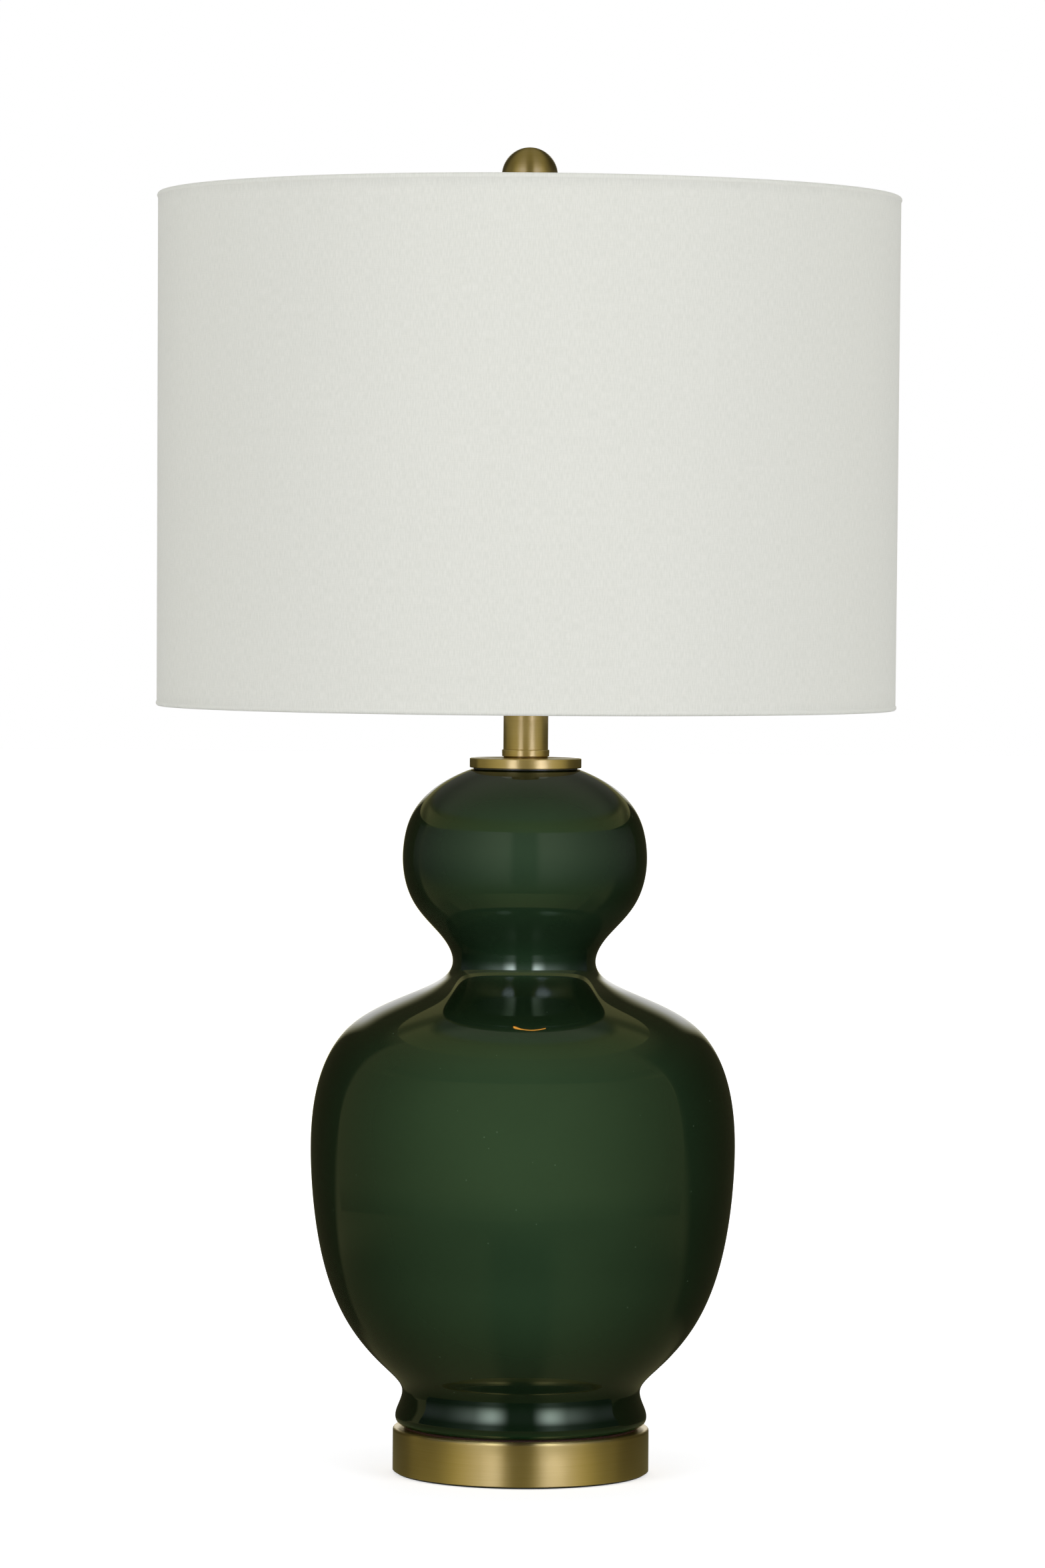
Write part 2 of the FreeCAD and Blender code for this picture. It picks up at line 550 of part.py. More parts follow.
def make_saddle():
    """Flat strip under the socket with a round ear at each end for the harp's legs."""
    body = new_body("harp_saddle", "saddle_low")
    strip = new_sketch(body, "XY_Plane")
    half, end = "saddle_width / 2", "leg_spacing / 2"
    outline(strip, [
        ("-" + end, "-" + half), (end, "-" + half, half, "left"),
        (end + " + " + half, "0", half, "left"), (end, half),
        ("-" + end, half, half, "left"), ("-(%s + %s)" % (end, half), "0", half, "left")])
    pad(body, strip, "saddle_thick")
    ears = new_sketch(body, "XY_Plane", "saddle_thick")
    for side in ("", "-"):
        circle(ears, side + end, "0", "ear_radius")
        circle(ears, side + end, "0", "harp_wire_radius + leg_fit")
    pad(body, ears, "ear_height")
    hole = new_sketch(body, "XY_Plane")
    circle(hole, "0", "0", PIPE_HOLE)
    cut(body, hole, "saddle_thick", forward=True)


def make_sleeves():
    """Two sleeves, stepped inside, that slide down over the saddle's ears."""
    wide = "ear_radius + leg_fit"
    narrow = "harp_wire_radius + leg_fit"
    outer = "ear_radius + leg_fit + sleeve_wall"
    step = "ear_height"
    for label, side in (("harp_sleeve_left", "-"), ("harp_sleeve_right", "")):
        body = turned(label, "leg_low", [
            (wide, "0"), (outer, "0"), (outer, "sleeve_length"), (narrow, "sleeve_length"),
            (narrow, step), (wide, step)])
        body.setExpression("Placement.Base.x", bound(side + "leg_spacing / 2"))


def harp_path():
    """Corners of the harp's centre line, from the foot of the right leg to the left one."""
    splay, lean = "leg_splay", "bow_lean"
    side_run = ("((harp_half_width - leg_spacing / 2 - (leg_bend_radius + bow_radius)"
                " * (1 - cos(leg_splay))) / sin(leg_splay))")
    bend_x = "leg_spacing / 2 + leg_bend_radius * (1 - cos(%s))" % splay
    bend_y = "leg_straight + leg_bend_radius * sin(%s)" % splay
    bow_x = "harp_half_width - bow_radius * (1 - cos(%s))" % splay
    bow_y = "%s + %s * cos(%s)" % (bend_y, side_run, splay)
    turn_x = "harp_half_width - bow_radius * (1 - cos(%s))" % lean
    turn_y = "%s + bow_radius * (sin(%s) + sin(%s))" % (bow_y, splay, lean)
    crown_y = "harp_height - crown_bend_radius * (1 - sin(%s))" % lean
    crown_x = "%s - (%s - (%s)) * tan(%s)" % (turn_x, crown_y, turn_y, lean)
    flat_x = "%s - crown_bend_radius * cos(%s)" % (crown_x, lean)
    right = [("leg_spacing / 2", "0"),
             ("leg_spacing / 2", "leg_straight", "leg_bend_radius", "right"),
             (bend_x, bend_y), (bow_x, bow_y, "bow_radius", "left"), (turn_x, turn_y),
             (crown_x, crown_y, "crown_bend_radius", "left"), (flat_x, "harp_height")]
    left = []
    for index in range(len(right) - 1, -1, -1):
        corner = ("-(%s)" % right[index][0], right[index][1])
        if index > 0 and len(right[index - 1]) > 2:
            corner += right[index - 1][2:]
        left.append(corner)
    return right + left


def make_harp():
    """Bent wire with a flat eye at the top for the stud."""
    body = new_body("harp_frame", "leg_low")
    path = new_sketch(body)
    outline(path, harp_path(), closed=False)
    section = new_sketch(body, "XY_Plane")
    circle(section, "leg_spacing / 2", "0", "harp_wire_radius")
    pipe = body.newObject("PartDesign::AdditivePipe", "harp_frame_pipe")
    pipe.Profile = (section, [""])
    pipe.Spine = (path, [""])
    eye = new_sketch(body, "XY_Plane", "harp_height - eye_thick / 2")
    circle(eye, "0", "0", "eye_radius")
    pad(body, eye, "eye_thick")
    hole = new_sketch(body, "XY_Plane", "harp_height - eye_thick")
    circle(hole, "0", "0", "stud_shank + stud_fit")
    cut(body, hole, "eye_thick * 2", forward=True)


def make_stud():
    """Shouldered stud that turns in the harp's eye and takes the shade and the finial."""
    under = "-(eye_thick + stud_play)"
    head = "-(eye_thick + stud_play + stud_head_thick)"
    shoulder = "stud_play + stud_shoulder_thick"
    turned("harp_stud", "eye_top", [
        ("0", head), ("stud_head_radius", head), ("stud_head_radius", under),
        ("stud_shank", under), ("stud_shank", "stud_play"), ("stud_shoulder_radius", "stud_play"),
        ("stud_shoulder_radius", shoulder), ("stud_radius", shoulder),
        ("stud_radius", shoulder + " + stud_length"), ("0", shoulder + " + stud_length")])


LINER_OUTER = "shell_radius - shell_sheet - liner_clearance"
LINER_INNER = LINER_OUTER + " - liner_thick"


def make_socket_case():
    """Pressed socket cap, its set screw, the outer shell and the card liner."""
    rim_in = "shell_radius + shell_fit"
    rim_out = "shell_radius + shell_fit + cap_sheet"
    cap = turned("socket_cap", "cap_low", [
        (PIPE_HOLE, "0"), ("cap_hub_radius", "0"), ("cap_hub_radius", "cap_hub_height"),
        (rim_out, "cap_height - cap_rim - cap_sheet / 2"), (rim_out, "cap_height"),
        (rim_in, "cap_height"), (rim_in, "cap_height - cap_rim"),
        ("cap_hub_radius", "cap_hub_height + cap_sheet"),
        (PIPE_HOLE, "cap_hub_height + cap_sheet")])
    tapped = new_sketch(cap)
    circle(tapped, "0", "cap_hub_height / 2", "set_screw_radius + pipe_fit")
    cut(cap, tapped, "cap_hub_radius + cap_sheet")
    screw = new_body("cap_set_screw", "cap_low + cap_hub_height / 2", BACKWARD)
    screw.setExpression("Placement.Base.y", bound("pipe_radius + pipe_fit"))
    section = new_sketch(screw, "XY_Plane")
    circle(section, "0", "0", "set_screw_radius")
    pad(screw, section, "set_screw_length")
    driver = new_sketch(screw, "XY_Plane", "set_screw_length")
    outline(driver, box_outline("-set_screw_radius", "-set_screw_radius / 5",
                                "set_screw_radius", "set_screw_radius / 5"))
    cut(screw, driver, "set_screw_radius / 2")

    inner = "shell_radius - shell_sheet"
    bead_low = "shell_length - shell_bead_drop"
    bead_high = "shell_length - shell_bead_drop + shell_bead_width"
    shell = turned("socket_shell", "shell_low", [
        (inner, "0"), ("shell_radius", "0"),
        ("shell_radius", bead_low, "shell_bead_radius", "left"),
        ("shell_radius", bead_high), ("shell_radius", "shell_length"), (inner, "shell_length"),
        (inner, bead_high, "shell_bead_radius", "right"), (inner, bead_low)])
    liner = ring("socket_liner", "shell_low", LINER_INNER, LINER_OUTER,
                 "shell_length - liner_recess")
    for body in (shell, liner):
        hole = new_sketch(body)
        circle(hole, "0", "switch_axis - shell_low", "shaft_hole")
        cut(body, hole, forward=True)


def make_socket_inside():
    """Moulded body with the switch, the screw shell, the centre contact and the terminals."""
    block = LINER_INNER + " - body_clearance"
    stem = "body_stem_height"
    body = turned("socket_body", "body_low", [
        ("0", "0"), ("body_stem_radius", "0"), ("body_stem_radius", stem), (block, stem),
        (block, stem + " + body_height"), ("0", stem + " + body_height")])
    bore = new_sketch(body)
    circle(bore, "0", "switch_axis - body_low", "shaft_radius + shaft_fit")
    cut(body, bore, forward=True)
    pocket = new_sketch(body, "YZ_Plane", block + " - terminal_recess")
    low = "switch_axis - body_low - terminal_flat_height / 2"
    high = "switch_axis - body_low + terminal_flat_height / 2"
    half = "terminal_flat_width / 2"
    outline(pocket, box_outline("-" + half, low, half, high))
    recess = cut(body, pocket, "terminal_recess * 2", forward=True)
    repeat(body, recess, "2")
    tapped = new_sketch(body, "YZ_Plane", "0")
    circle(tapped, "0", "switch_axis - body_low", "terminal_shank + shaft_fit")
    hole = cut(body, tapped, block, forward=True)
    repeat(body, hole, "2")

    inner = "bulb_cap_radius + bulb_seat_fit"
    outer = inner + " + screw_shell_sheet"
    lip = outer + " + screw_shell_flare"
    turned("screw_shell", "body_top", [
        ("contact_length / 2 + screw_shell_clearance", "0"), (outer, "0"),
        (outer, "screw_shell_length - screw_shell_flare"), (lip, "screw_shell_length"),
        (inner + " + screw_shell_flare", "screw_shell_length"),
        (inner, "screw_shell_length - screw_shell_flare"), (inner, "screw_shell_sheet"),
        ("contact_length / 2 + screw_shell_clearance", "screw_shell_sheet")])

    contact = new_body("centre_contact", "body_top")
    side = new_sketch(contact, "XZ_Plane", "-contact_width / 2")
    foot, knee, tip = "-contact_length / 2", "-contact_length / 6", "contact_length / 6"
    rise = "contact_rise - contact_sheet"
    outline(side, [
        (foot, "0"), (knee + " - contact_rise", "0"), (knee + " + contact_sheet / 2", rise),
        (tip, rise), (tip, "contact_rise"), (knee, "contact_rise"),
        (knee + " - contact_rise - contact_sheet / 2", "contact_sheet"), (foot, "contact_sheet")])
    pad(contact, side, "contact_width")

    screws = new_body("terminal_screws", "switch_axis")
    screws.AllowCompound = True
    sketch = new_sketch(screws, "YZ_Plane", block + " - terminal_recess")
    circle(sketch, "0", "0", "terminal_head_radius")
    head = pad(screws, sketch, "terminal_head_thick")
    thread = new_sketch(screws, "YZ_Plane", block + " - terminal_recess - terminal_shank_length")
    circle(thread, "0", "0", "terminal_shank")
    shank = pad(screws, thread, "terminal_shank_length")
    pattern = repeat(screws, head, "2")
    pattern.Originals = [head, shank]


def make_switch():
    """Turn knob with grip grooves on its shaft, pointing to the front."""
    shaft = new_body("switch_shaft", "switch_axis", FORWARD)
    shaft.setExpression("Placement.Base.y", bound("-shaft_root"))
    section = new_sketch(shaft, "XY_Plane")
    circle(section, "0", "0", "shaft_radius")
    pad(shaft, section, "shaft_reach - shaft_root")

    bore = "shaft_radius + shaft_fit"
    depth = "knob_length - knob_tip"
    crest = "knob_radius - knob_edge"
    knob = turned("switch_knob", "switch_axis", [
        (bore, "0"), ("knob_radius", "0"),
        ("knob_radius", "knob_length - knob_edge", "knob_edge", "left"),
        (crest, "knob_length"), ("0", "knob_length"), ("0", depth), (bore, depth)], FORWARD)
    knob.setExpression("Placement.Base.y", bound("-(shaft_reach + knob_tip - knob_length)"))
    groove = new_sketch(knob, "XY_Plane")
    circle(groove, "knob_radius", "0", "knob_groove")
    flute = cut(knob, groove, forward=True)
    repeat(knob, flute, "knob_grooves")


BULB = [
    ("bulb_neck_radius", "bulb_seal_height + bulb_cap_length"),
    ("bulb_neck_radius", "bulb_neck_height + bulb_neck_radius"),
    ("bulb_radius * 0.957", "bulb_neck_height + bulb_radius"),
    ("bulb_radius * 1.072", "bulb_height - bulb_radius"),
    ("bulb_radius * 0.8", "bulb_height"), ("0", "bulb_height"),
]


def make_bulb():
    """Frosted bulb: glass on a spline outline, screw cap, insulating seal and contact."""
    glass = new_body("bulb_glass", "bulb_low")
    outside = new_sketch(glass)
    foot = "bulb_seal_height + bulb_cap_length"
    spline_outline(outside, BULB, [("0", foot)])
    revolve(glass, outside)
    hollow = new_sketch(glass)
    ends = (("bulb_neck_radius - bulb_glass_wall", foot), ("0", "bulb_height - bulb_glass_wall"))
    spline_outline(hollow, inner_poles(BULB, "bulb_glass_wall", ends), [("0", foot)])
    revolve(glass, hollow, "Groove")

    inner = "bulb_cap_radius - bulb_cap_sheet"
    low = "bulb_contact_thick + bulb_seal_height"
    turned("bulb_cap", "bulb_low", [
        ("bulb_seal_radius - bulb_cap_sheet", low), ("bulb_seal_radius", low),
        ("bulb_cap_radius", low + " + bulb_seal_height"), ("bulb_cap_radius", foot),
        (inner, foot), (inner, low + " + bulb_seal_height")])
    turned("bulb_seal", "bulb_low", [
        ("0", "bulb_contact_thick"), ("bulb_contact_radius", "bulb_contact_thick"),
        ("bulb_seal_radius", low), ("0", low)])
    turned("bulb_contact", "bulb_low", [
        ("0", "0"), ("bulb_contact_radius - bulb_contact_thick / 2", "0"),
        ("bulb_contact_radius", "bulb_contact_thick"), ("0", "bulb_contact_thick")])


def hem_corners(centre, height, side):
    """Corners of the cloth rolled round a ring wire, from the outer face to the inner one."""
    cloth_in = "(hem_radius - hem_cloth)"
    outer_run = "(hem_radius - shade_wall_inset)"
    inner_run = "(hem_radius - shade_wall_inset - shade_wall)"
    up = "+" if side == "low" else "-"
    down = "-" if side == "low" else "+"
    turn_out, turn_in = ("right", "left") if side == "low" else ("left", "right")
    tail_x, tail_y = "cos(hem_tail)", "sin(hem_tail)"
    return [
        ("%s + %s" % (centre, outer_run),
         "%s %s sqrt(hem_radius^2 - %s^2)" % (height, up, outer_run), "hem_radius", turn_out),
        (centre, "%s %s hem_radius" % (height, down), "hem_radius", turn_out),
        ("%s - hem_radius * %s" % (centre, tail_x), "%s %s hem_radius * %s" % (height, up, tail_y)),
        ("%s - %s * %s" % (centre, cloth_in, tail_x),
         "%s %s %s * %s" % (height, up, cloth_in, tail_y), cloth_in, turn_in),
        (centre, "%s %s %s" % (height, down, cloth_in), cloth_in, turn_in),
        ("%s + %s" % (centre, inner_run),
         "%s %s sqrt(%s^2 - %s^2)" % (height, up, cloth_in, inner_run)),
    ]


LOW_RING = "shade_bottom_radius - hem_radius"
HIGH_RING = "shade_top_radius - hem_radius"
HIGH_RING_HEIGHT = "shade_height - hem_radius"


def make_shade_skin(turn):
    """Drum of cloth on a stiff backing, rolled round a ring at each rim, lapped at the back."""
    body = new_body("shade_skin", "shade_low", turn)
    sketch = new_sketch(body)
    low = hem_corners(LOW_RING, "hem_radius", "low")
    high = hem_corners(HIGH_RING, HIGH_RING_HEIGHT, "high")
    high.reverse()
    swapped = []
    for index, corner in enumerate(high):
        plain = corner[:2]
        following = high[index + 1] if index + 1 < len(high) else None
        if following is not None and len(following) > 2:
            opposite = "left" if following[3] == "right" else "right"
            plain += (following[2], opposite)
        swapped.append(plain)
    outline(sketch, low + swapped)
    revolve(body, sketch)

    lap = new_sketch(body)
    out_low = "shade_bottom_radius - shade_wall_inset"
    out_high = "shade_top_radius - shade_wall_inset"
    top = "shade_height - seam_end"
    outline(lap, [
        (out_low + " - shade_wall / 2", "seam_end"), (out_low + " + seam_thick", "seam_end"),
        (out_high + " + seam_thick", top), (out_high + " - shade_wall / 2", top)])
    seam = revolve(body, lap)
    seam.Midplane = True
    seam.setExpression("Angle", bound("seam_width / shade_bottom_radius * 180 / pi"))

    notch = new_sketch(body, "YZ_Plane", HIGH_RING + " - hem_radius * 2")
    half = "arm_radius + arm_notch"
    outline(notch, box_outline("-(%s)" % half, "%s - (%s)" % (HIGH_RING_HEIGHT, half), half,
                               "shade_height + arm_notch"))
    opening = cut(body, notch, "hem_radius * 2", forward=True)
    repeat(body, opening, "arm_count")


def make_shade_wires(turn):
    """Ring wires at both rims; the upper one carries the spider with its hub."""
    wire = "hem_radius - hem_cloth - ring_clearance"
    low = new_body("shade_bottom_ring", "shade_low", turn)
    section = new_sketch(low)
    circle(section, LOW_RING, "hem_radius", wire)
    revolve(low, section)

    fitter = new_body("shade_fitter", "hub_low", turn)
    section = new_sketch(fitter)
    ring_height = "hub_thick + spider_drop - hem_radius"
    circle(section, HIGH_RING, ring_height, wire)
    revolve(fitter, section)
    path = new_sketch(fitter)
    lift = "(%s - hub_thick / 2)" % ring_height
    bend = "%s / 2" % lift
    start = "(hub_radius + hub_hole) / 2"
    foot = "%s - arm_tail - %s" % (HIGH_RING, lift)
    outline(path, [
        (start, "hub_thick / 2"), (foot, "hub_thick / 2", bend, "left"),
        ("%s + %s" % (foot, bend), "hub_thick / 2 + %s" % bend, bend, "right"),
        ("%s + %s" % (foot, lift), ring_height), (HIGH_RING, ring_height)], closed=False)
    disc = new_sketch(fitter, "YZ_Plane", start)
    circle(disc, "0", "hub_thick / 2", "arm_radius")
    arm = fitter.newObject("PartDesign::AdditivePipe", "shade_fitter_arm")
    arm.Profile = (disc, [""])
    arm.Spine = (path, [""])
    repeat(fitter, arm, "arm_count")
    hub = new_sketch(fitter, "XY_Plane")
    circle(hub, "0", "0", "hub_radius")
    pad(fitter, hub, "hub_thick")
    hole = new_sketch(fitter, "XY_Plane")
    circle(hole, "0", "0", "hub_hole")
    cut(fitter, hole, "hub_thick", forward=True)


def make_finial():
    """Turned foot with a threaded bore and the ball pressed on its neck."""
    bore = "stud_radius + finial_bore_fit"
    turned("finial_foot", "finial_low", [
        (bore, "0"), ("finial_foot_radius", "0"), ("finial_foot_radius", "finial_foot_height / 2"),
        ("finial_neck_radius", "finial_foot_height"), ("finial_neck_radius", "finial_neck_height"),
        ("0", "finial_neck_height"), ("0", "finial_bore_depth"), (bore, "finial_bore_depth")])
    seat = "finial_neck_radius + finial_neck_fit"
    turned("finial_ball", "finial_low", [
        (seat, "finial_ball_rise - sqrt(finial_ball_radius^2 - (%s)^2)" % seat,
         "finial_ball_radius", "left"),
        ("0", "finial_ball_rise + finial_ball_radius"), ("0", "finial_neck_height"),
        (seat, "finial_neck_height")])


def check_and_write():
    """Stop on any failed object, then write each sub-part to its own file."""
    doc.recompute()
    failed = [item.Label for item in doc.Objects
              if "Invalid" in item.State or "Error" in item.State]
    if failed:
        raise RuntimeError("failed objects: " + ", ".join(failed))
    bodies = [item for item in doc.Objects if item.TypeId == "PartDesign::Body"]
    for body in bodies:
        if body.Shape.isNull() or not body.Shape.isValid():
            raise RuntimeError("bad shape: " + body.Label)
        body.Shape.exportStep("parts/%s.step" % body.Label)
    return bodies


make_base()
make_bushing()
make_clamp_hardware()
make_foot_seat()
make_gourd()
make_neck()
make_saddle()
make_sleeves()
make_harp()
make_stud()
make_socket_case()
make_socket_inside()
make_switch()
make_bulb()
SHADE_TURN = FreeCAD.Rotation(FreeCAD.Vector(0, 0, 1), value("arm_angle"))
make_shade_skin(SHADE_TURN)
make_shade_wires(SHADE_TURN)
make_finial()
for written in check_and_write():
    box = written.Shape.BoundBox
    print("%s: %d solid, %.2f cm3, z %.2f to %.2f" % (
        written.Label, len(written.Shape.Solids), written.Shape.Volume / 1000, box.ZMin, box.ZMax))
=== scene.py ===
# %% [markdown]
# # A double gourd table lamp
#
# The lamp is a hollow green glass body on a brass base, with a brass neck, a wire harp, a drum
# shade and a ball finial. Its CAD model is loaded first, as a frame that stays where it is. What
# shows most is then made again as smooth surfaces, worked out as whole arrays of points, because
# polished metal and glass give away every facet. Small and hidden CAD pieces keep their meshes
# and only get a finish.

# %% Load the frame
import json
import math

import bmesh
import bpy
import numpy as np
from mathutils import Matrix, Vector


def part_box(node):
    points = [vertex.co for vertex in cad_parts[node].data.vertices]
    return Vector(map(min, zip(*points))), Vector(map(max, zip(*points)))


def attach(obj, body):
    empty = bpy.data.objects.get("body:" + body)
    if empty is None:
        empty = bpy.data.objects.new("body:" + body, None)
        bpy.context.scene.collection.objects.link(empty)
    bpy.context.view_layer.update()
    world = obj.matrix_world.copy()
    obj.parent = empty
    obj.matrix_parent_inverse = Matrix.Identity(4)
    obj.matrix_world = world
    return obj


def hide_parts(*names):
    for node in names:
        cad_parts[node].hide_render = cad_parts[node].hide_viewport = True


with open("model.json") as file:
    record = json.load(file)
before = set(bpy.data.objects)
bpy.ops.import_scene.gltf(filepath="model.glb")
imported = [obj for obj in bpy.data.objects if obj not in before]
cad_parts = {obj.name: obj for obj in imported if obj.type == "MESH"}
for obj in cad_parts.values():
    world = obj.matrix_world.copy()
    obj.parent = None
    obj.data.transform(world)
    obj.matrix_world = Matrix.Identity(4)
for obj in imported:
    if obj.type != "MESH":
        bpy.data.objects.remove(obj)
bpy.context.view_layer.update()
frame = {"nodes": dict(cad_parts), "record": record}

MM = 0.001


def placed(name, data):
    """A new object with this data, linked into the scene."""
    made = bpy.data.objects.new(name, data)
    bpy.context.scene.collection.objects.link(made)
    return made


# %% [markdown]
# ## The camera
#
# The two rims of the shade and the base are circles, and in the photograph they are flat
# ellipses. How flat each one is gives the height of the lens: just under the middle of the
# shade, 3.45 m in front of the lamp. The long lens keeps the verticals straight, and the small
# roll is the picture's own lean.

# %% Camera
PICTURE_HIGH, FOCUS_PIXELS = 2352, 9469.0
camera_data = bpy.data.cameras.new("camera")
camera_data.sensor_width = 36.0
camera_data.lens = FOCUS_PIXELS / PICTURE_HIGH * camera_data.sensor_width
camera_data.clip_start, camera_data.clip_end = 0.05, 60.0
camera = placed("camera", camera_data)
LENS_PLACE = (-0.0016, -3.4544, 0.4920)
LENS_DOWN, LENS_ROLL = math.radians(1.894), math.radians(0.42)
camera.matrix_world = (
    Matrix.Translation(LENS_PLACE)
    @ Matrix.Rotation(math.pi / 2 - LENS_DOWN, 4, "X")
    @ Matrix.Rotation(LENS_ROLL, 4, "Z")
)
bpy.context.scene.camera = camera
print("lens", round(camera_data.lens, 2), "mm")

# %% [markdown]
# ## Writing shader maths as Python
#
# A finish is a small program: numbers that change over the surface, added and multiplied. The
# class below wraps one socket and gives it Python's own signs, so that `1 - mask` adds the Math
# node by itself. Every other node comes from one method, which takes its type, its settings and
# what goes into its sockets.


# %% Signals and finishes
class Signal:
    """A number, colour or vector that a node gives; + - * on a number add Math nodes."""

    def __init__(self, finish, socket):
        self.finish, self.socket = finish, socket

    def __add__(self, other):
        return self.finish.math("ADD", self, other)

    def __sub__(self, other):
        return self.finish.math("SUBTRACT", self, other)

    def __rsub__(self, other):
        return self.finish.math("SUBTRACT", other, self)

    def __mul__(self, other):
        return self.finish.math("MULTIPLY", self, other)

    __radd__, __rmul__ = __add__, __mul__


class Finish:
    """The nodes of one material, or of the world's light."""

    def __init__(self, owner):
        owner.use_nodes = True
        self.owner, self.tree = owner, owner.node_tree
        self.tree.nodes.clear()

    def node(self, kind, settings=None, sockets=None, output=0):
        """A node of a kind, with its settings made first and its sockets filled or linked."""
        made = self.tree.nodes.new("ShaderNode" + kind)
        for name, setting in (settings or {}).items():
            setattr(made, name, setting)
        for key, source in (sockets or {}).items():
            if isinstance(source, Signal):
                self.tree.links.new(source.socket, made.inputs[key])
            else:
                made.inputs[key].default_value = source
        return made if output is None else Signal(self, made.outputs[output])

    def math(self, operation, *values):
        """A Math node on numbers or signals."""
        return self.node("Math", {"operation": operation}, dict(enumerate(values)))

    def length(self, x, y):
        """How long a step of x and y is."""
        return self.math("SQRT", x * x + y * y)

    def place(self, space="Object"):
        """Where a point is on the lamp, in metres, as x, y and z."""
        spot = self.node("TexCoord", output=space)
        return [self.node("SeparateXYZ", None, {0: spot}, axis) for axis in range(3)]

    def vector(self, x, y, z):
        return self.node("CombineXYZ", None, {0: x, 1: y, 2: z})

    def noise(self, where, scale, detail=2.0, rough=0.5):
        """Cloudy noise from 0 to 1, with its mean near a half."""
        sockets = {"Vector": where, "Scale": scale, "Detail": detail, "Roughness": rough}
        return self.node("TexNoise", None, sockets)

    def ramp(self, signal, low, high, first=0.0, last=1.0):
        """Goes smoothly from first to last as the signal goes from low to high."""
        sockets = {0: signal, 1: low, 2: high, 3: first, 4: last}
        return self.node("MapRange", {"interpolation_type": "SMOOTHSTEP"}, sockets)

    def between(self, signal, start, full, fade, end):
        """Rises from 0 to 1 from start to full, and falls back to 0 from fade to end."""
        return self.ramp(signal, start, full) * self.ramp(signal, fade, end, 1.0, 0.0)

    def blend(self, share, first, second):
        """From the first colour to the second, by a share."""
        sockets = {0: share, 6: first, 7: second}
        return self.node("Mix", {"data_type": "RGBA"}, sockets, 2)

    def bump(self, height, depth, strength=1.0):
        sockets = {"Height": height, "Distance": depth, "Strength": strength}
        return self.node("Bump", None, sockets)

    def surface(self, shader):
        self.node("OutputMaterial", None, {"Surface": shader}, None)

    def shade(self, **sockets):
        """Principled shader as the surface; base_color stands for Base Color, and so on."""
        named = {key.replace("_", " ").title().replace("Ior", "IOR"): source
                 for key, source in sockets.items()}
        self.surface(self.node("BsdfPrincipled", None, named))

    def glow(self, colour, level):
        """Light of a colour and a level."""
        return self.node("Emission", None, {"Color": colour, "Strength": level})


FINISHES = {}


def finish(name):
    """Start a finish for one of the record's material slots or for a piece of the stage."""
    made = Finish(bpy.data.materials.new(name))
    FINISHES[name] = made.owner
    return made


# %% [markdown]
# ## Satin brass
#
# The base, neck and finial are brass that was turned and then brushed while it spun, so its
# scratches are fine rings round the axis. The rings are noise that is stretched along each ring
# and very fine across it: one coordinate is the height, another the radius, and the third
# changes slowly round the lamp. They go into colour, roughness and bump, and the anisotropic
# reflection draws the light out across them. The tube is a little duller than the rest, and the
# finial's ball has painted shade: a darker copy of the brass colours that stands in for the
# dark roof it reflects.


# %% Brass round the axis
RINGS, BROAD_RINGS, CLOUDS = 9000, 900, 26.0


def turned_brass(name, light, dark, gloss, drawn, ring_depth, grain):
    """Brass with rings round the axis, so many to the metre: drawn is how far the rings draw a
    reflection out across them, and grain how much they break up."""
    made = finish(name)
    x, y, z = made.place()
    radius = made.length(x, y)
    ring = made.noise(made.vector(z * RINGS, radius * RINGS, x * 60 * grain), 1.0, 3.0)
    broad = made.noise(made.vector(z * BROAD_RINGS, radius * BROAD_RINGS, y * 25), 1.0, 2.0)
    cloud = made.noise(made.vector(x, y, z), CLOUDS, 3.0)
    tone = made.ramp(ring * 0.45 + broad * 0.25 + cloud * 0.3, 0.32, 0.68)
    rough = gloss + (ring - 0.5) * 0.12 + (cloud - 0.5) * 0.06
    made.shade(
        base_color=made.blend(tone, dark, light), metallic=1.0, roughness=rough,
        anisotropic=drawn, anisotropic_rotation=0.25, coat_weight=0.5, coat_roughness=0.25,
        normal=made.bump(ring * 0.7 + broad * 0.3, ring_depth))


BRUSHED, PLATED = 0.000010, 0.000008
LIGHT_BRASS, DARK_BRASS = (0.780, 0.610, 0.260, 1), (0.700, 0.530, 0.200, 1)
# Painted shade: the finial ball's brass colours are a darker copy of the others.
SHADED_BALL_LIGHT, SHADED_BALL_DARK = (0.460, 0.365, 0.165, 1), (0.400, 0.305, 0.130, 1)
LIGHT_SOCKET, DARK_SOCKET = (0.78, 0.61, 0.30, 1), (0.70, 0.53, 0.24, 1)
LIGHT_CONTACT, DARK_CONTACT = (0.80, 0.62, 0.33, 1), (0.66, 0.47, 0.20, 1)
turned_brass("satin_brass", LIGHT_BRASS, DARK_BRASS, 0.36, 0.95, BRUSHED, 1.0)
turned_brass("tube_brass", LIGHT_BRASS, DARK_BRASS, 0.42, 0.88, BRUSHED, 1.0)
turned_brass("shaded_ball_brass", SHADED_BALL_LIGHT, SHADED_BALL_DARK, 0.36, 0.9, BRUSHED, 1.0)
turned_brass("socket_brass", LIGHT_SOCKET, DARK_SOCKET, 0.20, 0.7, PLATED, 0.6)
turned_brass("contact_brass", LIGHT_CONTACT, DARK_CONTACT, 0.34, 0.3, BRUSHED, 3.0)
print("brass finishes", sorted(FINISHES))
